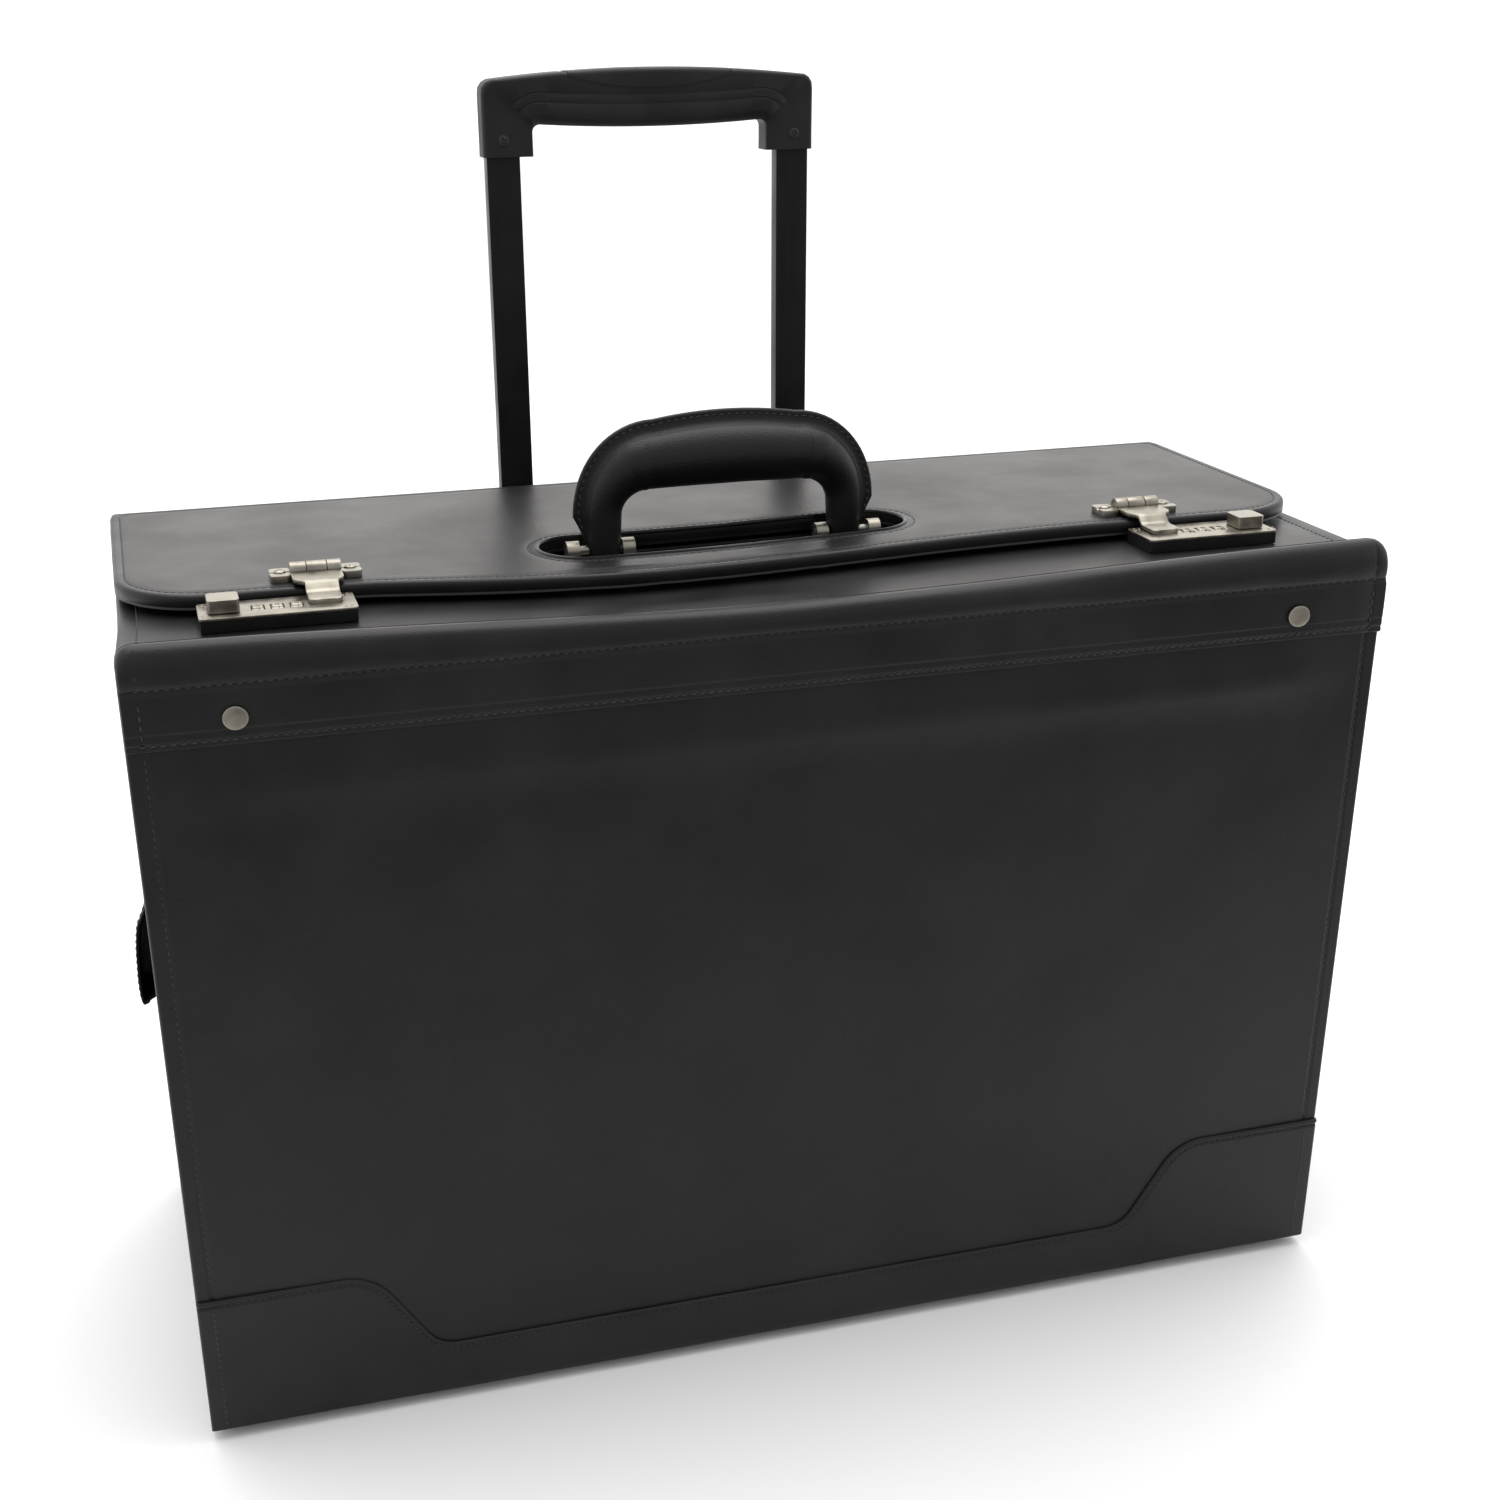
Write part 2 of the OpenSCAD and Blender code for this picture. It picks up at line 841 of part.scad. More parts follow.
module lid_layer(low, high, inset) {
    translate([0, 0, low]) linear_extrude(high - low) difference() {
        lid_outline(inset);
        slot_outline(inset);
    }
}

module lid_cover() {
    color(leather) on_floor() difference() {
        lid_layer(lid_low + skin_t, case_h, 0);
        lid_layer(lid_low, case_h - skin_t, skin_t);
        hasp_screw_shapes();
    }
}

module lid_board() {
    color(fibre) on_floor() difference() {
        lid_layer(lid_low + skin_t, case_h - skin_t, skin_t);
        hasp_screw_shapes();
    }
}

module lid_lower_ply() {
    color(leather) on_floor() lid_layer(lid_low, lid_low + skin_t, 0);
}

module hasp_screw_shapes() {
    both_sides() for (x = [barrel_x - wing_w / 2, barrel_x + barrel_l + wing_w / 2])
        translate([x, barrel_y + 1, case_h - 5]) cylinder(h = 8, r = 1.2);
}

// plate screwed to the lid, with the two outer knuckles
module hasp_brackets() {
    wing_t = 3;
    color(nickel) on_floor() difference() {
        both_sides() {
            for (x = [barrel_x - wing_w, barrel_x + barrel_l])
                round_block([x, barrel_y - 6.5, case_h], [x + wing_w, barrel_y + 7.5, case_h + wing_t], 2);
            difference() {
                union() {
                    block([barrel_x - 2, barrel_y - 2, case_h], [barrel_x + barrel_l + 2, barrel_y + 7.5, case_h + 1.5]);
                    rod_x_wards(barrel_x, barrel_x + barrel_l, barrel_y, barrel_z, barrel_r);
                }
                difference() {
                    block([knuckle_low - clear, 0, 0], [knuckle_high + clear, far, far]);
                    block([0, barrel_y + barrel_r + 0.6, 0], [case_w, far, far]);
                }
            }
        }
        hasp_screw_shapes();
        rod_x_wards(-far, far, barrel_y, barrel_z, hasp_pin_r);
    }
}

module hasp_pins() {
    color(nickel) on_floor() both_sides()
        rod_x_wards(barrel_x, barrel_x + barrel_l, barrel_y, barrel_z, hasp_pin_r);
}

module hasp_screws() {
    color(nickel) on_floor() {
        hasp_screw_shapes();
        both_sides() for (x = [barrel_x - wing_w / 2, barrel_x + barrel_l + wing_w / 2])
            translate([x, barrel_y + 1, case_h + 3]) cylinder(h = 0.8, r = 2.4);
    }
}

// cranked plate that drops from the barrel over the lid's edge to the lock
module hasp() {
    sheet_t = 2;
    high_low = barrel_z - 2.2;
    low_low = lock_top + clear;
    crank_y = lid_front - 2;
    tip_y = lock_y + 9;
    root_y = barrel_y - barrel_r - clear;
    profile = [
        [barrel_y, high_low], [crank_y, high_low], [crank_y - 4, low_low], [tip_y, low_low],
        [tip_y, low_low + sheet_t], [crank_y - 4.8, low_low + sheet_t],
        [crank_y - 0.8, high_low + sheet_t], [barrel_y, high_low + sheet_t]
    ];
    module swept(low, high) {
        translate([low, 0, 0]) rotate([90, 0, 90]) linear_extrude(high - low) polygon(profile);
    }
    difference() {
        union() {
            intersection() {
                swept(barrel_x, barrel_x + barrel_l);
                block([0, crank_y - 1, 0], [case_w, root_y, far]);
            }
            intersection() {
                swept(barrel_x + (barrel_l - tongue_w) / 2, barrel_x + (barrel_l + tongue_w) / 2);
                block([0, 0, 0], [case_w, root_y, far]);
            }
            swept(knuckle_low, knuckle_high);
            rod_x_wards(knuckle_low, knuckle_high, barrel_y, barrel_z, barrel_r);
            block([barrel_x + 8.7, lock_y + 13, lock_top - 4], [barrel_x + 12.7, lock_y + 14.5, low_low + 1]);
        }
        rod_x_wards(-far, far, barrel_y, barrel_z, hasp_pin_r + shaft_run);
    }
}

module hasp_left() { color(nickel) on_floor() hasp(); }
module hasp_right() { color(nickel) on_floor() right_side() hasp(); }

side_boards();
back_board();
bottom_board();
front_board();
side_covers();
back_cover();
bottom_cover();
lining();
front_pocket_panel();
pocket_gusset();
front_ridge();
front_base_trim();
snap_studs();
inner_flap_board();
inner_flap_cover();
lock_bases();
lock_plates();
dial_shafts();
handle_brackets();
handle_pins();
side_strap();
side_strap_rivets();
wheel_housings();
wheel_axles();
front_feet();
outer_tubes();
top_bracket();
bottom_bracket();
bracket_screws();
lid_board();
lid_cover();
lid_lower_ply();
hasp_brackets();
hasp_pins();
hasp_screws();
hasp_left();
hasp_right();
lock_button_left();
lock_button_right();
dial_left(0);  // dial_left_1
dial_left(1);  // dial_left_2
dial_left(2);  // dial_left_3
dial_right(0);  // dial_right_1
dial_right(1);  // dial_right_2
dial_right(2);  // dial_right_3
carry_handle_grip();
carry_handle_core();
pocket_flap();
snap_caps();
mid_tubes();
inner_tubes();
grip_front_shell();
grip_rear_shell();
grip_screws();
grip_button();
release_rods();
tyre_left();
tyre_right();
hub_left();
hub_right();
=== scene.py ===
import bpy
import bmesh
import json
from math import pi, sin, cos, exp, radians, sqrt, atan2, hypot, tan
from mathutils import Vector, Matrix, noise

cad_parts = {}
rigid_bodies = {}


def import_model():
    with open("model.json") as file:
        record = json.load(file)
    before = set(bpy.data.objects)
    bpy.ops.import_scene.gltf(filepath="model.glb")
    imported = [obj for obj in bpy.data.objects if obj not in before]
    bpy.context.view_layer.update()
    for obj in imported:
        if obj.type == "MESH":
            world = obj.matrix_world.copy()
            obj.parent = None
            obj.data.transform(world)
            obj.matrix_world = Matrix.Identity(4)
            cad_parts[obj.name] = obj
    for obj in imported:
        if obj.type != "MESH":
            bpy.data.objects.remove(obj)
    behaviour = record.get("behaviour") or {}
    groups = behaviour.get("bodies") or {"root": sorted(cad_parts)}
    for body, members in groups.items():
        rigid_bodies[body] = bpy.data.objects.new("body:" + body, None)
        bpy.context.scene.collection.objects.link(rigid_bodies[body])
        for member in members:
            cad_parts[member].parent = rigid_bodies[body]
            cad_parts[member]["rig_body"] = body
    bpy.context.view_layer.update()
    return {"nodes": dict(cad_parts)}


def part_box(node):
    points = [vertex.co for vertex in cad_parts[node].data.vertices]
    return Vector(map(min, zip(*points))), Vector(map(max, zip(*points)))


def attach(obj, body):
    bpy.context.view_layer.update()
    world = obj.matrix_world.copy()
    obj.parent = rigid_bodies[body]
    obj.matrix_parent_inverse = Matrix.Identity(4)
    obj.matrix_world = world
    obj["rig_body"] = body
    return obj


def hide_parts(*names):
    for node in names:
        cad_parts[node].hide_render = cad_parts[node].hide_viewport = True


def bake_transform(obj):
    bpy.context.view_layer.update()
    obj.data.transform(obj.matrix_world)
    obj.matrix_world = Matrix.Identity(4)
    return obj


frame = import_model()
mm = 0.001

# case coordinates in millimetres: x from the left wall, y back from the front panel, z up from the underside
panelLow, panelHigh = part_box("front_pocket_panel")
caseWide = (panelHigh.x - panelLow.x) / mm
middleX = caseWide / 2

# the filled case spreads a little toward its top, more on the right
flare = {"left": 2.2, "right": 4.2, "from": 205.0, "high": 350.0, "leftDeep": 60.0}


def unit(value):
    return min(1.0, max(0.0, value))


def at(x, y, z):
    out = unit((abs(x - middleX) - flare["from"]) / (middleX - flare["from"]))
    spread = out * out * (3 - 2 * out) * unit(z / flare["high"])
    front = unit((flare["leftDeep"] - y) / (flare["leftDeep"] - 10))
    x += flare["right"] * spread if x > middleX else -flare["left"] * spread * front
    return Vector((panelLow.x + x * mm, panelLow.y + y * mm, panelLow.z + z * mm))


def caseSpan(node):
    low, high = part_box(node)
    return (low - panelLow) / mm, (high - panelLow) / mm


def mirrored(points):
    return [(caseWide - p[0],) + tuple(p[1:]) for p in points]


# the soft top hangs in the middle between the two locks
topSag = {"down": 4.4, "forward": 3.2, "from": 96.0, "lean": 0.7, "rearY": 228.0, "frontY": 62.0,
          "ridgeDown": 6.0}


def sagged(point):
    s = topSag
    x, y, z = point
    share = (x - s["from"]) / (caseWide - 2 * s["from"])
    across = sin(pi * share ** s["lean"]) ** 2 if 0 < share < 1 else 0.0
    along = unit((s["rearY"] - y) / (s["rearY"] - s["frontY"]))
    return x, y - s["forward"] * across * along, z - s["down"] * across * along


def finish(name, colour, rough, metallic=0.0, specular=0.5, sheen=0.0):
    material = bpy.data.materials.new(name)
    material.use_nodes = True
    nodes = material.node_tree.nodes
    shader = nodes["Principled BSDF"]
    shader.inputs["Base Color"].default_value = (*colour, 1)
    shader.inputs["Roughness"].default_value = rough
    shader.inputs["Metallic"].default_value = metallic
    shader.inputs["Specular IOR Level"].default_value = specular
    shader.inputs["Sheen Weight"].default_value = sheen
    coords = nodes.new("ShaderNodeTexCoord")
    return material, shader, coords


def pattern(material, coords, kind, scale, detail=2.0, rough=0.5, stretch=None):
    # one texture in metres on the piece itself, so its grain keeps its true size
    nodes, links = material.node_tree.nodes, material.node_tree.links
    source = coords.outputs["Object"]
    if stretch:
        mapping = nodes.new("ShaderNodeMapping")
        mapping.inputs["Scale"].default_value = stretch
        links.new(source, mapping.inputs["Vector"])
        source = mapping.outputs["Vector"]
    texture = nodes.new("ShaderNodeTexVoronoi" if kind == "cells" else "ShaderNodeTexNoise")
    texture.inputs["Scale"].default_value = scale
    if kind == "cells":
        out = texture.outputs["Distance"]
    else:
        texture.inputs["Detail"].default_value = detail
        texture.inputs["Roughness"].default_value = rough
        out = texture.outputs["Fac"]
    links.new(source, texture.inputs["Vector"])
    return out


def ranged(material, value, low, high, fromLow=0.3, fromHigh=0.7):
    nodes, links = material.node_tree.nodes, material.node_tree.links
    node = nodes.new("ShaderNodeMapRange")
    node.inputs["From Min"].default_value = fromLow
    node.inputs["From Max"].default_value = fromHigh
    node.inputs["To Min"].default_value = low
    node.inputs["To Max"].default_value = high
    links.new(value, node.inputs["Value"])
    return node.outputs["Result"]


def tinted(material, value, dark, light, low=0.3, high=0.7):
    nodes, links = material.node_tree.nodes, material.node_tree.links
    ramp = nodes.new("ShaderNodeValToRGB")
    ramp.color_ramp.elements[0].position = low
    ramp.color_ramp.elements[0].color = (*dark, 1)
    ramp.color_ramp.elements[1].position = high
    ramp.color_ramp.elements[1].color = (*light, 1)
    links.new(value, ramp.inputs["Fac"])
    return ramp.outputs["Color"]


def bumped(material, shader, layers):
    # layers of (height, strength, depth in metres), one under the other
    nodes, links = material.node_tree.nodes, material.node_tree.links
    before = None
    for height, strength, depth in layers:
        bump = nodes.new("ShaderNodeBump")
        bump.inputs["Strength"].default_value = strength
        bump.inputs["Distance"].default_value = depth
        links.new(height, bump.inputs["Height"])
        if before:
            links.new(before, bump.inputs["Normal"])
        before = bump.outputs["Normal"]
    links.new(before, shader.inputs["Normal"])


def feed(material, value, socket):
    material.node_tree.links.new(value, socket)


leatherLooks = {"dark": (0.0046, 0.0045, 0.0056), "light": (0.0105, 0.0098, 0.0112),
                "highlightTint": (1.0, 0.96, 0.92, 1), "grain": 1150, "pores": 2600, "drape": 22,
                "roughLow": 0.34, "roughHigh": 0.45, "grainDepth": 0.00012, }


def leather(name, roughShift=0.0, grainShift=1.0, specular=0.3):
    looks = leatherLooks
    material, shader, coords = finish(name, looks["light"], looks["roughHigh"], specular=specular)
    shader.inputs["Specular Tint"].default_value = looks["highlightTint"]
    cells = pattern(material, coords, "cells", looks["grain"])
    pores = pattern(material, coords, "noise", looks["pores"], 3)
    drape = pattern(material, coords, "noise", looks["drape"], 4, 0.55)
    feed(material, tinted(material, drape, looks["dark"], looks["light"]), shader.inputs["Base Color"])
    rough = ranged(material, drape, looks["roughLow"] + roughShift, looks["roughHigh"] + roughShift)
    feed(material, rough, shader.inputs["Roughness"])
    bumped(material, shader, [(drape, 0.25, 0.0006), (cells, 0.5 * grainShift, looks["grainDepth"]),
                              (pores, 0.35 * grainShift, 0.00004)])
    return material


def metal(name, dark, light, roughLow, roughHigh, stretch=(1, 14, 14), scratch=900, depth=0.00002):
    material, shader, coords = finish(name, light, roughLow, metallic=1.0)
    brushed = pattern(material, coords, "noise", scratch, 2, 0.6, stretch=stretch)
    cloudy = pattern(material, coords, "noise", 130, 3)
    feed(material, tinted(material, cloudy, dark, light), shader.inputs["Base Color"])
    feed(material, ranged(material, cloudy, roughLow, roughHigh), shader.inputs["Roughness"])
    bumped(material, shader, [(brushed, 0.25, depth)])
    return material


def plastic(name, dark, light, rough, grain=2600, depth=0.00005, specular=0.4):
    material, shader, coords = finish(name, light, rough, specular=specular)
    pebble = pattern(material, coords, "cells", grain)
    cloudy = pattern(material, coords, "noise", 45, 3)
    feed(material, tinted(material, cloudy, dark, light), shader.inputs["Base Color"])
    feed(material, ranged(material, cloudy, rough - 0.06, rough + 0.08), shader.inputs["Roughness"])
    bumped(material, shader, [(cloudy, 0.1, 0.0004), (pebble, 0.5, depth)])
    return material


def woven(name, dark, light, pitch=0.0009):
    material, shader, coords = finish(name, light, 0.85, specular=0.25, sheen=0.25)
    nodes, links = material.node_tree.nodes, material.node_tree.links
    waves = []
    for direction in ("X", "Y", "Z"):
        wave = nodes.new("ShaderNodeTexWave")
        wave.bands_direction = direction
        wave.inputs["Scale"].default_value = 1 / pitch / 20
        wave.inputs["Distortion"].default_value = 0.4
        links.new(coords.outputs["Object"], wave.inputs["Vector"])
        waves.append(wave.outputs["Fac"])
    cloudy = pattern(material, coords, "noise", 30, 3)
    feed(material, tinted(material, cloudy, dark, light), shader.inputs["Base Color"])
    bumped(material, shader, [(w, 0.4, 0.0001) for w in waves])
    return material


blackLeather = leather("blackLeather")
gripLeather = leather("gripLeather", 0.02, 1.3)
strapLeather = leather("strapLeather", 0.08, 1.2, 0.1)
edgePaint = leather("edgePaint", -0.04, 0.3, 0.45)
threadMaterial = plastic("blackThread", (0.012, 0.012, 0.015), (0.034, 0.034, 0.04), 0.42, 4200, 0.00008)
nickel = metal("satinNickel", (0.23, 0.21, 0.175), (0.36, 0.335, 0.28), 0.3, 0.42)
dialMetal = metal("dialMetal", (0.22, 0.2, 0.165), (0.35, 0.32, 0.27), 0.32, 0.45)
markPaint = plastic("markPaint", (0.02, 0.015, 0.012), (0.05, 0.03, 0.02), 0.6)
zincSteel = metal("zincSteel", (0.22, 0.21, 0.19), (0.36, 0.34, 0.31), 0.34, 0.48)
gripPlastic = plastic("gripPlastic", (0.009, 0.009, 0.0095), (0.018, 0.0175, 0.0175), 0.5, specular=0.28)
housingPlastic = plastic("housingPlastic", (0.012, 0.012, 0.013), (0.022, 0.022, 0.024), 0.55, 1600, 0.0001)
tubePaint = plastic("tubePaint", (0.005, 0.005, 0.0055), (0.009, 0.009, 0.0095), 0.36, 5200, 0.00002, 0.2)
blackScrew = plastic("blackScrew", (0.01, 0.01, 0.01), (0.03, 0.03, 0.03), 0.35)
tyreRubber = plastic("tyreRubber", (0.014, 0.014, 0.015), (0.04, 0.038, 0.036), 0.62, 900, 0.0001)
hubPlastic = plastic("hubPlastic", (0.07, 0.07, 0.075), (0.12, 0.12, 0.125), 0.45)
footRubber = plastic("footRubber", (0.012, 0.012, 0.012), (0.03, 0.03, 0.03), 0.75, 1400, 0.0001)
liningCloth = woven("liningCloth", (0.016, 0.016, 0.018), (0.03, 0.03, 0.033))
fibreBoard = plastic("fibreBoard", (0.012, 0.011, 0.01), (0.028, 0.025, 0.022), 0.8, 700, 0.00012, 0.2)
print("finishes ready")


def toObject(name, bm, material, smoothAngle=38):
    bmesh.ops.recalc_face_normals(bm, faces=bm.faces[:])
    for face in bm.faces:
        face.smooth = True
    for edge in bm.edges:
        edge.smooth = edge.calc_face_angle(0.0) < radians(smoothAngle)
    mesh = bpy.data.meshes.new(name)
    bm.to_mesh(mesh)
    bm.free()
    mesh.materials.append(material)
    piece = bpy.data.objects.new(name, mesh)
    bpy.context.scene.collection.objects.link(piece)
    return piece


def fit(piece, body, nodes=()):
    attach(piece, body)
    if nodes:
        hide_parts(*nodes)
    return piece


def addPiece(name, bm, material, body, nodes=(), smoothAngle=38):
    return fit(toObject(name, bm, material, smoothAngle), body, nodes)


def loft(bm, rings):
    # closed solid skinned over a list of equal rings of points, in case millimetres
    rows = [[bm.verts.new(at(*p)) for p in ring] for ring in rings]
    count = len(rings[0])
    for a, b in zip(rows, rows[1:]):
        for i in range(count):
            j = (i + 1) % count
            bm.faces.new((a[i], a[j], b[j], b[i]))
    bm.faces.new(rows[0][::-1])
    bm.faces.new(rows[-1])


def lathe(bm, profile, centre, axis, steps=40):
    # profile of (along, radius) turned about an axis through the centre
    rings = []
    for along, radius in profile:
        ring = []
        for i in range(steps):
            a = 2 * pi * i / steps
            u, v = radius * cos(a), radius * sin(a)
            ring.append({"x": (centre[0] + along, centre[1] + u, centre[2] + v),
                         "y": (centre[0] + u, centre[1] + along, centre[2] + v),
                         "z": (centre[0] + u, centre[1] + v, centre[2] + along)}[axis])
        rings.append(ring)
    loft(bm, rings)


def slab(bm, front, back):
    # closed slab between two equal grids of points
    rows, cols = len(front), len(front[0])
    f = [[bm.verts.new(at(*p)) for p in line] for line in front]
    b = [[bm.verts.new(at(*p)) for p in line] for line in back]
    for i in range(rows - 1):
        for j in range(cols - 1):
            bm.faces.new((f[i][j], f[i][j + 1], f[i + 1][j + 1], f[i + 1][j]))
            bm.faces.new((b[i][j], b[i + 1][j], b[i + 1][j + 1], b[i][j + 1]))
    for i in range(rows - 1):
        bm.faces.new((f[i][0], f[i + 1][0], b[i + 1][0], b[i][0]))
        bm.faces.new((f[i][-1], b[i][-1], b[i + 1][-1], f[i + 1][-1]))
    for j in range(cols - 1):
        bm.faces.new((f[0][j], b[0][j], b[0][j + 1], f[0][j + 1]))
        bm.faces.new((f[-1][j], f[-1][j + 1], b[-1][j + 1], b[-1][j]))


def stops(low, high, step, *features):
    # even stops with close ones round each feature, given as (place, reach, fine step)
    found = {low, high}
    n = max(1, round((high - low) / step))
    found.update(low + (high - low) * i / n for i in range(n + 1))
    for place, reach, fine in features:
        m = int(reach / fine)
        found.update(place + fine * i for i in range(-m, m + 1) if low <= place + fine * i <= high)
    ordered = sorted(found)
    kept = [ordered[0]]
    for value in ordered[1:]:
        if value - kept[-1] > 0.12:
            kept.append(value)
    kept[-1] = high
    return kept


def groove(distance, width, depth):
    return depth * max(0.0, 1 - (distance / width) ** 2) ** 2


def wave(x, z, size, seed):
    return noise.noise(Vector((x / size, z / size, seed)))


def roundOff(distance, radius):
    # how far a surface drops back as it comes within radius of its edge
    if distance >= radius:
        return 0.0
    return radius - sqrt(max(0.0, radius ** 2 - (radius - distance) ** 2))


def filleted(points, radii, steps=10):
    out = [Vector(points[0])]
    for i in range(1, len(points) - 1):
        a, b, c = Vector(points[i - 1]), Vector(points[i]), Vector(points[i + 1])
        r = radii[i - 1]
        into, away = (a - b).normalized(), (c - b).normalized()
        half = into.angle(away) / 2
        reach = r / tan(half)
        centre = b + (into + away).normalized() * (r / sin(half))
        start, end = b + into * reach - centre, b + away * reach - centre
        turn = start.angle(end)
        for k in range(steps + 1):
            t = k / steps
            out.append(centre + (start * sin((1 - t) * turn) + end * sin(t * turn)) / sin(turn))
    out.append(Vector(points[-1]))
    return out


def bevelled(node, name, material, width, segments=3, angle=32, smoothAngle=38, squeeze=1.0):
    # the CAD piece with its edges eased, and made shallower about its middle where squeeze is under one
    source = frame["nodes"][node]
    bm = bmesh.new()
    bm.from_mesh(source.data)
    middleY = sum(c.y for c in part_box(node)) / 2
    for v in bm.verts:
        v.co.y = middleY + (v.co.y - middleY) * squeeze
    bmesh.ops.remove_doubles(bm, verts=bm.verts[:], dist=2e-6)
    bmesh.ops.dissolve_limit(bm, angle_limit=radians(0.8), verts=bm.verts[:], edges=bm.edges[:])
    edges = [e for e in bm.edges if len(e.link_faces) == 2 and e.calc_face_angle(0.0) > radians(angle)]
    bmesh.ops.bevel(bm, geom=edges, offset=width * mm, segments=segments, profile=0.6,
                    affect="EDGES", clamp_overlap=True)
    piece = toObject(name, bm, material, smoothAngle)
    return fit(piece, source["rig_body"], (node,))


def stitchRow(bm, path, normals, pitch=3.2, length=2.35, thick=0.42, sink=0.12, slant=6.0):
    # sewn thread: short raised strands laid along a path of case points, standing up along the
    # normals, which are one for the whole path or one for each point
    if isinstance(normals, tuple):
        normals = [normals] * len(path)
    lengths = [0.0]
    for a, b in zip(path, path[1:]):
        lengths.append(lengths[-1] + (Vector(b) - Vector(a)).length)
    count = max(1, int(lengths[-1] / pitch))
    segment = 0
    for k in range(count):
        middle = (k + 0.5) * lengths[-1] / count
        while segment < len(path) - 2 and lengths[segment + 1] < middle:
            segment += 1
        a, b = Vector(path[segment]), Vector(path[segment + 1])
        span = lengths[segment + 1] - lengths[segment]
        t = (middle - lengths[segment]) / span if span else 0
        along = (b - a).normalized()
        up = Vector(normals[segment]).lerp(Vector(normals[segment + 1]), t).normalized()
        side = up.cross(along).normalized()
        along = (along + side * tan(radians(slant))).normalized()
        side = up.cross(along).normalized()
        centre = a.lerp(b, t) + up * (thick * 0.5 - sink)
        rings = []
        for i in range(5):
            s = -1 + 2 * i / 4
            r = thick * (0.3, 0.85, 1.0, 0.85, 0.3)[i]
            lift = -0.35 * s * s * thick
            core = centre + along * (s * length / 2) + up * lift
            turns = [q * pi / 3 for q in range(6)]
            rings.append([tuple(core + (side * cos(a) + up * sin(a) * 0.8) * r) for a in turns])
        loft(bm, rings)


def sewn(name, rows, body, pitch=3.2, **how):
    bm = bmesh.new()
    for path, normals in rows:
        stitchRow(bm, path, normals, pitch, **how)
    return addPiece(name, bm, threadMaterial, body, smoothAngle=80)


def straight(a, b, normal, steps=2):
    points = [tuple(Vector(a).lerp(Vector(b), i / (steps - 1))) for i in range(steps)]
    return points, normal


panelShape = {"edge": 1.6, "seamIn": 7.0, "seamWidth": 1.6, "seamDepth": 0.45, "puff": 0.9, "ripple": 0.35,
              "band": 3.0, "bandHigh": 307.0, "bandWide": 9.0}
panelTop = caseSpan("front_pocket_panel")[1].z
panelThick = caseSpan("front_pocket_panel")[1].y


def panelSkin(x, z):
    s = panelShape
    y = roundOff(x, s["edge"]) + roundOff(caseWide - x, s["edge"]) + roundOff(z, s["edge"])
    sideDistance = min(abs(x - s["seamIn"]), abs(caseWide - s["seamIn"] - x))
    y += groove(sideDistance, s["seamWidth"], s["seamDepth"])
    inside = min(1.0, max(0.0, min(x, caseWide - x) - 9) / 60) * min(1.0, max(0.0, z) / 60)
    y -= s["puff"] * inside * (0.6 + 0.4 * wave(x, z, 190, 3.1))
    y -= s["ripple"] * inside * wave(x, z, 46, 7.7)
    ends = min(1.0, max(0.0, min(x, caseWide - x) - 12) / 40)
    y -= s["band"] * (0.4 + 0.6 * x / caseWide) * ends * exp(-((z - s["bandHigh"]) / s["bandWide"]) ** 2)
    return y


def makeFrontPanel():
    s = panelShape
    xs = stops(0, caseWide, 7, (0, 2, 0.4), (caseWide, 2, 0.4),
               (s["seamIn"], 2, 0.4), (caseWide - s["seamIn"], 2, 0.4))
    zs = stops(0, panelTop, 7, (0, 2, 0.4))
    bm = bmesh.new()
    slab(bm, [[(x, panelSkin(x, z), z) for x in xs] for z in zs],
         [[(x, panelThick, z) for x in xs] for z in zs])
    addPiece("frontPanel", bm, blackLeather, "case", ("front_pocket_panel",))
    rows = []
    for x in (s["seamIn"], caseWide - s["seamIn"]):
        zs = stops(70, 322, 6)
        rows.append(([(x, panelSkin(x, z), z) for z in zs], (0, -1, 0)))
    sewn("frontPanelSeams", rows, "case", 3.6)


trimShape = {"sideHigh": 69, "middleHigh": 26, "shoulder": 77, "foot": 105, "shoulderRound": 26,
             "footRound": 16, "thick": 1.5, "lip": 0.55, "seamIn": 2.8, "edge": 1.0}


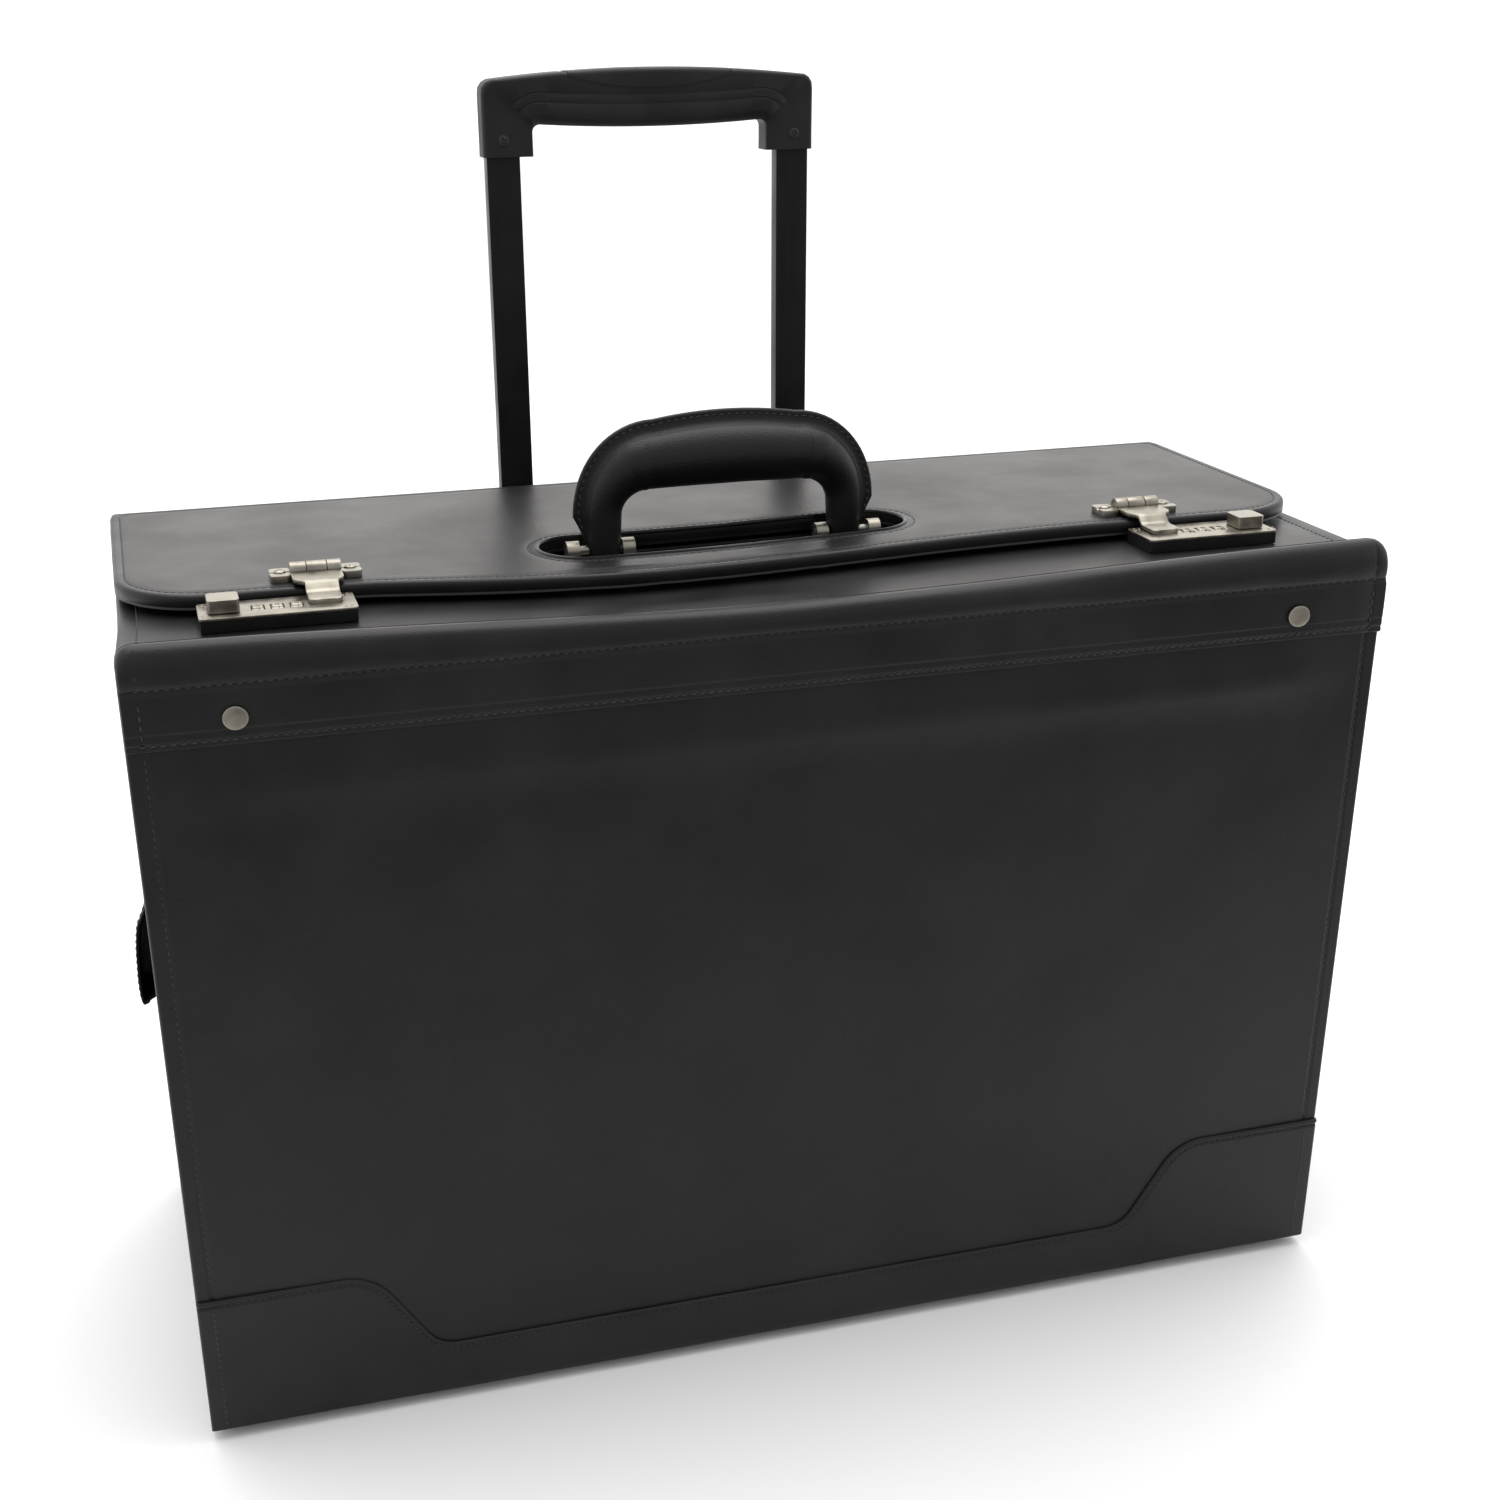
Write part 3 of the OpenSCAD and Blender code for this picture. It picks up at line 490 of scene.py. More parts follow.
def makeBaseTrim():
    s = trimShape
    half = filleted([(0, s["sideHigh"]), (s["shoulder"], s["sideHigh"]), (s["foot"], s["middleHigh"]),
                     (middleX, s["middleHigh"])], [s["shoulderRound"], s["footRound"]], 12)
    line = [(p.x, p.y) for p in half[:-1]]
    line += [(middleX - 60, s["middleHigh"]), (middleX, s["middleHigh"])]
    fine = []
    for a, b in zip(line, line[1:]):
        n = max(1, int((b[0] - a[0]) / 9))
        fine += [(a[0] + (b[0] - a[0]) * k / n, a[1] + (b[1] - a[1]) * k / n) for k in range(n)]
    fine = [(0, s["sideHigh"]), (0.3, s["sideHigh"]), (0.8, s["sideHigh"]), (1.6, s["sideHigh"])] + fine[1:]
    fine += [(middleX, s["middleHigh"])]
    line = fine + [(caseWide - x, z) for x, z in reversed(fine[:-1])]
    slopes = []
    for i in range(len(line)):
        a, b = line[max(0, i - 1)], line[min(len(line) - 1, i + 1)]
        slopes.append(atan2(b[1] - a[1], b[0] - a[0]))
    # downs are distances below the top edge, measured square to it
    downs = [0, 0.15, 0.4, 0.8, 1.3, 1.9, 2.4, 2.8, 3.2, 3.8, 4.6, 7, 12]
    front, back = [], []
    columns = []
    for (x, z), slope in zip(line, slopes):
        column = []
        for d in downs:
            px, pz = x + d * sin(slope), z - d * cos(slope)
            px = min(max(px, 0), caseWide) if 3 < x < caseWide - 3 else x
            y = -s["thick"] + roundOff(d, s["edge"]) - s["lip"] * groove(abs(d - 1.1), 1.6, 1)
            y += groove(abs(d - s["seamIn"]), 1.1, 0.5)
            y += roundOff(px, 1.5) + roundOff(caseWide - px, 1.5)
            column.append((px, y, pz))
        lowest = column[-1][2]
        for t in (0.35, 0.7, 0.93, 0.98, 1.0):
            zz = lowest * (1 - t)
            y = -s["thick"] + roundOff(zz, 1.2) + 0.25 * wave(x, zz, 30, 2.2)
            y += roundOff(x, 1.5) + roundOff(caseWide - x, 1.5)
            column.append((column[-1][0] + (x - column[-1][0]) * t, y, zz))
        columns.append(column)
    for row in range(len(columns[0])):
        front.append([c[row] for c in columns])
        back.append([(c[row][0], 0.15, c[row][2]) for c in columns])
    bm = bmesh.new()
    slab(bm, front, back)
    addPiece("baseTrim", bm, blackLeather, "case", ("front_base_trim",))
    seam = [(c[7][0], c[7][1], c[7][2]) for c in columns[4:-4]]
    rows = [(seam, (0, -1, 0))]
    for x in (panelShape["seamIn"], caseWide - panelShape["seamIn"]):
        rows.append(straight((x, -s["thick"] + 0.05, 3), (x, -s["thick"] + 0.05, s["sideHigh"] - 5),
                             (0, -1, 0)))
    sewn("baseTrimSeams", rows, "case", 3.0)


flapLow, flapHigh = caseSpan("pocket_flap")
snapLow, snapHigh = caseSpan("snap_caps")
snapPlace = (snapLow.x + (snapHigh.z - snapLow.z) / 2, (snapLow.z + snapHigh.z) / 2)
ridgeShape = {"seamHigh": 349.6, "topHigh": 367.0, "endRound": 7.5, "seamIn": 7.0, "hemIn": 2.6,
              "hemLine": 6.4, "bendFrom": 350.0, "bendLong": 5.0, "pinch": 0.75}
# the padded roll in section, as (y, z), from the stitched line over its top and into the crease behind
ridgeProfile = [(-2.15, 350.2), (-2.5, 351.1), (-2.8, 353.0), (-2.95, 355.5), (-2.8, 358.2), (-2.3, 360.8),
                (-1.4, 363.2), (-0.1, 365.1), (1.6, 366.4), (3.5, 367.0), (5.4, 367.1), (6.4, 366.8),
                (6.8, 366.2), (7.1, 365.7), (7.4, 366.2), (7.8, 366.7), (8.4, 366.5), (8.75, 365.7),
                (8.8, 363.6), (8.6, 359.6)]


def flapFront(x, z):
    # the outer skin of the flap, dimpled at the snaps and drawn in at its seams
    s = ridgeShape
    y = flapLow.y - 0.35 * sin(pi * unit((z - flapLow.z) / (s["seamHigh"] - flapLow.z)))
    y += roundOff(z - flapLow.z, 0.9)
    above = z - flapLow.z
    y += 0.4 * groove(above - s["hemIn"], 1.1, 1) + 0.22 * groove(above - s["hemLine"], 1.2, 1)
    y -= 0.35 * wave(x, z, 55, 4.4) * min(1, (z - flapLow.z) / 8)
    for snapX in (snapPlace[0], caseWide - snapPlace[0]):
        away = hypot(x - snapX, z - snapPlace[1])
        y += 0.55 * max(0.0, 1 - (away / 11) ** 2) ** 2
    return y + s["pinch"] * groove(z - s["seamHigh"], 2.6, 1)


def ridgeOutline(x):
    # one section of the leather: up the flap's face, over the padded ridge and down behind
    s = ridgeShape
    sag = 1 - topSag["ridgeDown"] * sin(pi * x / caseWide) ** 2 / (s["topHigh"] - s["seamHigh"])
    faceZs = stops(flapLow.z, s["seamHigh"], 1.6, (flapLow.z, 8, 0.45), (s["seamHigh"], 3, 0.4))
    points = [(flapFront(x, z), z) for z in faceZs]
    soft = 0.75 * wave(x, 3, 48, 9.4) + 0.3 * wave(x, 8, 17, 3.4)
    edge = min(x, caseWide - x)
    d = min(edge, s["endRound"]) / s["endRound"]
    drop = 1 - sqrt(max(0.0, 1 - (1 - d) ** 2))
    for y, z in ridgeProfile:
        high = (z - s["seamHigh"]) * sag * (1 - 0.38 * drop)
        bulge = soft * sin(pi * min(1.0, (z - s["seamHigh"]) / 15))
        points.append((y - bulge + 1.6 * drop * (1 if y < 4 else 0), s["seamHigh"] + high + 0.3 * bulge))
    points += [(8.5, 354), (8.4, 350.6), (4.0, 350.5), (0.6, 350.5), (flapHigh.y, 349.0)]
    points += [(flapHigh.y, z) for z in reversed(stops(flapLow.z, 347, 4))]
    seam = groove(edge - s["seamIn"], 1.3, 0.4)
    corner = roundOff(edge, 1.4)
    return [(x, y + (seam + corner if y < 0.5 and k < len(points) - 12 else 0), z)
            for k, (y, z) in enumerate(points)]


def makeFrontFlap():
    # ridge and flap are one hide, made as one piece
    s = ridgeShape
    features = [(p, 12, 1.2) for p in (snapPlace[0], caseWide - snapPlace[0])]
    xs = stops(0, caseWide, 8, (0, 8, 0.6), (caseWide, 8, 0.6), *features)
    bm = bmesh.new()
    loft(bm, [ridgeOutline(x) for x in xs])
    flap = toObject("frontFlap", bm, blackLeather)
    at(middleX, 0, s["bendFrom"])
    at(middleX, 0, s["bendFrom"] - s["bendLong"])
    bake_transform(flap)
    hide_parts("front_ridge", "pocket_flap")
    xs = stops(5, caseWide - 5, 9)
    z = flapLow.z + s["hemIn"]
    rows = [([(x, flapFront(x, z), z) for x in xs], (0, -1, 0))]
    for x in (s["seamIn"], caseWide - s["seamIn"]):
        zs = stops(flapLow.z + 4.5, s["bendFrom"] - s["bendLong"], 3)
        rows.append(([(x, flapFront(x, q) + 0.3, q) for q in zs], (0, -1, 0)))
    sewn("pocketFlapSeams", rows, "pocket_flap", 3.8, length=2.6, thick=0.5)
    z = s["seamHigh"] + 0.25
    row = ([(x, flapFront(x, s["seamHigh"]) + 0.05, z) for x in xs], (0, -1, 0.1))
    ends = []
    for x in (s["seamIn"], caseWide - s["seamIn"]):
        ends.append(([(x, -2.2, 353.5), (x, -2.1, 357), (x, -0.9, 361)],
                     [(0, -1, 0), (0, -1, 0.1), (0, -0.8, 0.6)]))
    sewn("ridgeSeams", [row] + ends, "case", 3.8, length=2.7, thick=0.6)


def makeSnaps():
    radius = (snapHigh.z - snapLow.z) / 2
    for side, x in (("Left", snapPlace[0]), ("Right", caseWide - snapPlace[0])):
        bm = bmesh.new()
        back, out = snapHigh.y, snapLow.y
        profile = [(back - out, radius * 0.8), (back - out, radius * 0.98), (0.9, radius),
                   (0.55, radius * 0.985), (0.3, radius * 0.94), (0.22, radius * 0.86),
                   (0.16, radius * 0.8), (0.05, radius * 0.6), (0.0, radius * 0.3), (0.0, radius * 0.06)]
        lathe(bm, profile, (x, out, snapPlace[1]), "y", 48)
        cap = toObject("snapCap" + side, bm, nickel, 50)
        fit(cap, "pocket_flap", ("snap_caps",) if side == "Left" else ())


makeFrontPanel()
makeBaseTrim()
makeFrontFlap()
makeSnaps()
bevelled("pocket_gusset", "pocketGusset", blackLeather, 0.8)
bevelled("snap_studs", "snapStuds", nickel, 0.4)
print("front pocket made")


wallShape = {"edge": 1.5, "puff": 0.45, "seamIn": 6.0, "seamWide": 1.3, "seamDeep": 0.35, "step": 9,
             "thick": 1.2, "pitch": 3.6, "backSeamDown": 20}
frontY = caseSpan("side_covers")[0].y
coverHigh = caseSpan("side_covers")[1]
flapTop = caseSpan("inner_flap_board")[1].z
flapRear = caseSpan("inner_flap_cover")[1].y
wellHigh = caseSpan("wheel_housings")[1].z
wellDeep = caseSpan("wheel_housings")[0].y
wellWide = 50
caseDeep = caseSpan("back_cover")[1].y
wallTop = caseSpan("back_cover")[1].z


def wallRows(low, high, wellLow, wellTo, topFrom, topLow):
    # heights with the span that the wall covers there, doubled where it steps
    rows = [(z, low, wellLow) for z in stops(0, wellHigh, wallShape["step"], (0, 1.6, 0.4))]
    rows += [(z, low, wellTo) for z in stops(wellHigh + 0.02, topLow, wallShape["step"])]
    rows += [(z, topFrom, wellTo) for z in stops(topLow + 0.02, high, 3, (high, 1.6, 0.4))]
    return rows


def dent(u, v, low, high, bottom, top):
    # how far a wall's skin drops back near its edges, at its seams and between them
    s = wallShape
    edges = [u - low, high - u, v - bottom, top - v]
    back = sum(roundOff(max(0.0, e), s["edge"]) for e in edges)
    back += s["seamDeep"] * groove(min(abs(e - s["seamIn"]) for e in edges), s["seamWide"], 1)
    inside = min(1.0, max(0.0, min(edges) - s["seamIn"]) / 40)
    return back - s["puff"] * inside * (0.55 + 0.45 * wave(u, v, 70, 5.5))


def makeSideWall(side):
    mirror = side == "Right"
    rows = wallRows(frontY, coverHigh.z, wellDeep, coverHigh.y, flapRear + 0.3, flapTop)
    steps = 30
    outer, inner = [], []
    for z, low, high in rows:
        line = []
        for i in range(steps + 1):
            share = 0.5 - 0.5 * cos(pi * i / steps)
            y = (low, high)[i > 0] if i in (0, steps) else low + (high - low) * share
            line.append((dent(y, z, frontY, coverHigh.y, 0, coverHigh.z if y > flapRear else flapTop), y, z))
        outer.append(line)
        inner.append([(wallShape["thick"], p[1], p[2]) for p in line])
    if mirror:
        outer, inner = [mirrored(r) for r in outer], [mirrored(r) for r in inner]
    bm = bmesh.new()
    slab(bm, outer, inner)
    addPiece("sideCover" + side, bm, blackLeather, "case", ("side_covers",) if not mirror else ())
    s = wallShape["seamIn"]
    x = 0.3
    line = [(x, frontY + s, 6), (x, frontY + s, flapTop - s), (x, flapRear + s, flapTop - s),
            (x, flapRear + s, coverHigh.z - s), (x, coverHigh.y - s, coverHigh.z - s),
            (x, coverHigh.y - s, wellHigh + s), (x, wellDeep - s, wellHigh + s), (x, wellDeep - s, s),
            (x, frontY + s, s)]
    line = mirrored(line) if mirror else line
    normal = (1, 0, 0) if mirror else (-1, 0, 0)
    rows = [straight(a, b, normal) for a, b in zip(line, line[1:])]
    sewn("sideSeams" + side, rows, "case", wallShape["pitch"])


def makeBackWall():
    rows = [(z, wellWide, caseWide - wellWide) for z in stops(0, wellHigh, 9, (0, 1.6, 0.4))]
    rows += [(z, 0, caseWide) for z in stops(wellHigh + 0.02, wallTop, 9, (wallTop, 1.6, 0.4))]
    steps = 56
    outer = []
    for z, low, high in rows:
        xs = [low + (high - low) * (0.5 - 0.5 * cos(pi * i / steps)) for i in range(steps + 1)]
        outer.append([(x, caseDeep - dent(x, z, 0, caseWide, 0, wallTop) - wallShape["puff"] * 0.5, z)
                      for x in xs])
    inner = [[(p[0], caseDeep - wallShape["thick"], p[2]) for p in line] for line in outer]
    bm = bmesh.new()
    slab(bm, outer, inner)
    addPiece("backCover", bm, blackLeather, "case", ("back_cover",))
    s = wallShape["seamIn"]
    y = caseDeep - 0.4
    seamTop = wallTop - wallShape["backSeamDown"]
    line = [(wellWide + s, y, s), (wellWide + s, y, wellHigh + s), (s, y, wellHigh + s), (s, y, seamTop),
            (caseWide - s, y, seamTop), (caseWide - s, y, wellHigh + s),
            (caseWide - wellWide - s, y, wellHigh + s), (caseWide - wellWide - s, y, s), (wellWide + s, y, s)]
    sewn("backSeams", [straight(a, b, (0, 1, 0)) for a, b in zip(line, line[1:])], "case", wallShape["pitch"])


liningShape = {"thick": 0.5, "corner": 5}


def makeLining():
    # five cloth panels glued inside the box, as one open liner with eased corners
    low, high = caseSpan("lining")
    thick, corner = liningShape["thick"], liningShape["corner"]
    floorZ = low.z + thick

    def ring(z, inset):
        points = []
        for cx, cy, turn in ((high.x, high.y, 0), (low.x, high.y, 1), (low.x, low.y, 2), (high.x, low.y, 3)):
            sx, sy = (1, -1, -1, 1)[turn], (1, 1, -1, -1)[turn]
            r = max(corner - inset, 0.5)
            for k in range(7):
                a = pi / 2 * turn + pi / 2 * k / 6
                points.append((cx - sx * (inset + r) + r * cos(a), cy - sy * (inset + r) + r * sin(a), z))
        full = []
        for p, q in zip(points, points[1:] + points[:1]):
            n = max(1, int((Vector(q) - Vector(p)).length / 12))
            full += [tuple(Vector(p).lerp(Vector(q), k / n)) for k in range(n)]
        return full

    heights = stops(floorZ, high.z, 14, (floorZ, 6, 1.2))
    bm = bmesh.new()
    rings = [ring(z, 0) for z in [low.z] + heights[1:]]
    for z in reversed(heights):
        bend = max(0.0, 1 - (z - floorZ) / corner)
        inset = thick + corner * (1 - sqrt(max(0.0, 1 - bend ** 2)))
        rings.append(ring(z, inset))
    loft(bm, rings)
    addPiece("liner", bm, liningCloth, "case", ("lining",))


bindingShape = {"thick": 0.22, "wide": 5.2}


def makeRimBinding():
    # leather turned over the tops of the side and rear walls
    thick, wide = bindingShape["thick"], bindingShape["wide"]
    bars = [((0, flapRear + 0.5), (wide, caseDeep)),
            ((caseWide - wide, flapRear + 0.5), (caseWide, caseDeep)),
            ((wide, caseDeep - wide), (caseWide - wide, caseDeep))]
    bm = bmesh.new()
    for low, high in bars:
        xs, ys = stops(low[0] + 0.1, high[0] - 0.1, 20), stops(low[1] + 0.1, high[1] - 0.1, 20)
        top = [[(x, y, wallTop + thick) for x in xs] for y in ys]
        slab(bm, top, [[(x, y, wallTop - 0.02) for x in xs] for y in ys])
    addPiece("rimBinding", bm, blackLeather, "case")


makeSideWall("Left")
makeSideWall("Right")
makeBackWall()
makeLining()
makeRimBinding()
for node, name in (("side_boards", "sideBoards"), ("back_board", "backBoard"), ("front_board", "frontBoard"),
                   ("bottom_board", "bottomBoard"), ("inner_flap_board", "innerFlapBoard")):
    bevelled(node, name, fibreBoard, 0.15)
bevelled("bottom_cover", "bottomCover", housingPlastic, 0.4)
print("box walls made")


slotShape = {"left": 90.5, "right": 86.0, "frontY": 88.5, "rearY": 125.5}
slotLow = Vector((middleX - slotShape["left"], slotShape["frontY"]))
slotHigh = Vector((middleX + slotShape["right"], slotShape["rearY"]))
slotCentre = Vector(((slotLow.x + slotHigh.x) / 2, (slotLow.y + slotHigh.y) / 2))


def rectangleReach(low, high, radii, direction):
    # distance from the slot's centre to a round-cornered rectangle, radii for front and rear corners
    nearest = 1e9
    for axis, limit in ((0, low.x), (0, high.x), (1, low.y), (1, high.y)):
        d = direction[axis]
        if abs(d) > 1e-9:
            t = (limit - slotCentre[axis]) / d
            if t > 0:
                nearest = min(nearest, t)
    p = slotCentre + direction * nearest
    front = p.y < slotCentre.y
    r = radii[0] if front else radii[1]
    cx = low.x + r if p.x < slotCentre.x else high.x - r
    cy = low.y + r if front else high.y - r
    beyondX = (p.x - cx) * (-1 if p.x < slotCentre.x else 1)
    beyondY = (p.y - cy) * (-1 if front else 1)
    if r > 0 and beyondX > 0 and beyondY > 0:
        oc = slotCentre - Vector((cx, cy))
        b = oc.dot(direction)
        c = oc.length_squared - r * r
        nearest = -b + sqrt(max(0.0, b * b - c))
    return nearest


def slotReach(grow, direction):
    half = (slotHigh.y - slotLow.y) / 2 + grow
    return rectangleReach(Vector((slotLow.x - grow, slotCentre.y - half)),
                          Vector((slotHigh.x + grow, slotCentre.y + half)), (half - 0.01, half - 0.01),
                          direction)


def spokes(low, high, corner):
    # directions from the slot's centre, close together where either outline turns
    turns = 144
    angles = {2 * pi * k / turns for k in range(turns)}
    endRound = (slotHigh.y - slotLow.y) / 2
    marks = []
    for side in (-1, 1):
        for k in range(13):
            a = pi / 2 * k / 12
            marks.append(Vector((middleX + side * ((high.x - low.x) / 2 - corner + corner * sin(a)),
                                 low.y + corner - corner * cos(a))))
        for k in range(17):
            a = -pi / 2 + pi * k / 16
            across = (slotHigh.x - slotLow.x) / 2 - endRound + endRound * cos(a)
            marks.append(Vector((slotCentre.x + side * across, slotCentre.y + endRound * sin(a))))
        marks.append(Vector((middleX + side * (high.x - low.x) / 2, high.y)))
        for k in range(1, 24):
            marks.append(Vector((middleX + side * (high.x - low.x) / 2 * k / 24, high.y)))
            marks.append(Vector((middleX + side * (high.x - low.x) / 2 * k / 24, low.y)))
    for p in marks:
        d = p - slotCentre
        angles.add(atan2(d.y, d.x) % (2 * pi))
    ordered = sorted(angles)
    kept = [a for i, a in enumerate(ordered) if i == 0 or a - ordered[i - 1] > 0.0025]
    return [Vector((cos(a), sin(a))) for a in kept]


def ringSolid(bm, sections):
    rows = [[bm.verts.new(at(*p)) for p in ring] for ring in sections]
    count = len(sections[0])
    for a, b in zip(rows, rows[1:] + rows[:1]):
        for i in range(count):
            j = (i + 1) % count
            bm.faces.new((a[i], a[j], b[j], b[i]))


def sheetSection(direction, low, high, corners, grow, outerEdge, innerEdge, surface, under):
    # one cross-section from the outer edge to the slot: edges are (inset, z) lists, bottom to top
    def outer(inset, z):
        reach = rectangleReach(low + Vector((inset, inset)), high - Vector((inset, inset)),
                               (max(corners[0] - inset, 0.3), max(corners[1] - inset, 0.3)), direction)
        return slotCentre + direction * reach, z

    def inner(inset, z):
        return slotCentre + direction * slotReach(grow + inset, direction), z

    points = [outer(*e) for e in outerEdge]
    a, b = points[-1][0], inner(*innerEdge[-1])[0]
    count = 14
    middle = [a.lerp(b, k / count) for k in range(1, count)]
    points += [(p, surface(p)) for p in middle]
    points += [inner(*e) for e in reversed(innerEdge)]
    last, first = points[-1][0], points[0][0]
    points += [(last.lerp(first, k / 6), under) for k in range(1, 6)]
    return [sagged((p.x, p.y, z)) for p, z in points]


lidShape = {"edge": 2.0, "seamIn": 4.6, "seamDeep": 0.2, "slotSeam": 4.4, "cornerRound": 40, "wave": 0.5,
            "ply": 1.2, "piping": 1.15}
lidLow, lidHigh = caseSpan("lid_cover")
lidSide, lidFar = Vector((lidLow.x, lidLow.y)), Vector((lidHigh.x, lidHigh.y))


def crown(top, edge, seamIn, bottom):
    # edge profile of a stitched leather sheet, from its foot up and over to just past the seam
    points = [(0.9, bottom), (0.25, bottom + 0.25), (0.0, bottom + 0.9),
              (0.0, bottom + 0.55 * (top - bottom))]
    for k in range(1, 7):
        a = pi / 2 * k / 6
        points.append((edge * (1 - cos(a)), top - edge + edge * sin(a)))
    deep = lidShape["seamDeep"]
    points += [(seamIn - 1.0, top + 0.02), (seamIn - 0.4, top - 0.7 * deep), (seamIn, top - deep),
               (seamIn + 0.4, top - 0.7 * deep), (seamIn + 1.0, top), (seamIn + 5, top)]
    return points


def makeLid():
    s = lidShape
    top, foot = lidHigh.z, lidLow.z + s["ply"]
    directions = spokes(lidSide, lidFar, s["cornerRound"])
    corners = (s["cornerRound"], 2)

    def surface(p):
        return top + s["wave"] * 0.5 * wave(p.x, p.y, 85, 6.1) + 0.12 * wave(p.x, p.y, 30, 8.8)

    outerEdge = crown(top, s["edge"], s["seamIn"], foot)
    innerEdge = crown(top, 1.2, s["slotSeam"], foot)
    bm = bmesh.new()
    ringSolid(bm, [sheetSection(d, lidSide, lidFar, corners, 0, outerEdge, innerEdge, surface, foot + 1)
                   for d in directions])
    addPiece("lidCover", bm, blackLeather, "lid", ("lid_cover",))
    plyTop, plyLow = foot + 0.5, foot - s["ply"]
    outerEdge = [(0.5, plyLow), (0.0, plyLow + 0.25), (-0.25, plyLow + 0.6), (0.0, plyTop - 0.2),
                 (0.6, plyTop)]
    innerEdge = [(0.4, plyLow), (0.1, plyLow + 0.3), (0.1, plyTop - 0.3), (0.4, plyTop)]
    bm = bmesh.new()
    sections = []
    for d in directions:
        ripple = 0.35 * noise.noise(Vector((d.x * 9, d.y * 9, 2.5)))
        wavy = [(i + ripple, z + 0.4 * ripple) for i, z in outerEdge]
        sections.append(sheetSection(d, lidSide, lidFar, corners, 0, wavy, innerEdge,
                                     lambda p: plyTop, plyLow))
    ringSolid(bm, sections)
    addPiece("lidLowerPly", bm, edgePaint, "lid", ("lid_lower_ply",))
    rows = []
    for edge, z, normal in ((s["seamIn"], top - 0.16, (0, 0, 1)), (s["seamIn"], plyLow, (0, 0, -1))):
        low, high = lidSide + Vector((edge, edge)), lidFar - Vector((edge, edge))
        path = []
        for d in directions:
            p = slotCentre + d * rectangleReach(low, high, (s["cornerRound"] - edge, 0.5), d)
            if p.y < high.y - 0.5:
                path.append(sagged((p.x, p.y, z)))
        start = max(range(len(path)), key=lambda i: (Vector(path[i]) - Vector(path[i - 1])).length)
        path = path[start:] + path[:start]
        rows.append((path, normal))
    slotPath = []
    for d in directions + directions[:1]:
        p = slotCentre + d * slotReach(s["slotSeam"], d)
        slotPath.append(sagged((p.x, p.y, top - 0.16)))
    rows.append((slotPath, (0, 0, 1)))
    sewn("lidSeams", rows, "lid", 3.4, length=2.5, thick=0.36)
    bm = bmesh.new()
    rings = []
    for d in directions:
        p = slotCentre + d * slotReach(0.1, d)
        out = Vector((d.x, d.y, 0))
        core, r = Vector(sagged((p.x, p.y, top - 0.3))), s["piping"]
        rings.append([tuple(core + out * (r * cos(a)) + Vector((0, 0, r * sin(a))))
                      for a in [2 * pi * k / 10 for k in range(10)]])
    ringSolid(bm, rings)
    addPiece("slotPiping", bm, edgePaint, "lid")
    boardLow, boardHigh = caseSpan("lid_board")
    inset = boardLow.x - lidLow.x + 0.3
    edges = [(inset, foot + 1.5), (inset, boardHigh.z - 0.4)]
    bm = bmesh.new()
    ringSolid(bm, [sheetSection(d, lidSide, lidFar, corners, 1.5, edges, edges,
                                lambda p: boardHigh.z - 0.4, foot + 1.5) for d in directions])
    addPiece("lidBoard", bm, fibreBoard, "lid", ("lid_board",))


flapCoverShape = {"edge": 1.6, "seamIn": 8.0, "wave": 0.3, "recess": 4}


def makeInnerFlap():
    s = flapCoverShape
    low3, high3 = caseSpan("inner_flap_cover")
    low, high = Vector((low3.x, low3.y)), Vector((high3.x, high3.y))
    top, foot = high3.z, low3.z
    directions = spokes(low, high, 2)

    def surface(p):
        away = min(abs(p.x - s["seamIn"]), abs(caseWide - s["seamIn"] - p.x))
        soft = s["wave"] * (0.5 + 0.5 * wave(p.x, p.y, 60, 2.2)) * 0.5
        return top - 0.2 - soft - 0.4 * groove(away, 1.5, 1)

    outerEdge = [(0.9, foot), (0.25, foot + 0.3), (0, foot + 0.9), (0, top - s["edge"] - 1)]
    outerEdge += [(s["edge"] * (1 - cos(pi / 2 * k / 5)), top - s["edge"]
                   + s["edge"] * sin(pi / 2 * k / 5) - 0.1) for k in range(6)]
    outerEdge += [(3, top - 0.1), (s["seamIn"] - 1.2, top - 0.15), (s["seamIn"], top - 0.45),
                  (s["seamIn"] + 1.2, top - 0.2)]
    innerEdge = [(0.4, foot), (0.05, foot + 0.5), (0.05, top - 1.2), (0.5, top - 0.4), (1.2, top - 0.15),
                 (4, top - 0.15)]
    bm = bmesh.new()
    ringSolid(bm, [sheetSection(d, low, high, (2, 2), s["recess"], outerEdge, innerEdge, surface, foot)
                   for d in directions])
    addPiece("innerFlapCover", bm, blackLeather, "case", ("inner_flap_cover",))
    rows = []
    z = top - 0.4
    for x in (s["seamIn"], caseWide - s["seamIn"]):
        rows.append(straight((x, frontY + 3, z), (x, high.y - 3, z), (0, 0, 1)))
    xs = stops(s["seamIn"], caseWide - s["seamIn"], 10)
    rows.append(([sagged((x, low.y + s["seamIn"], z)) for x in xs], (0, 0, 1)))
    sewn("innerFlapSeams", rows, "case", 3.4)


hingeShape = {"thick": 0.7, "inset": 1.5, "down": 24, "seamIn": 4}


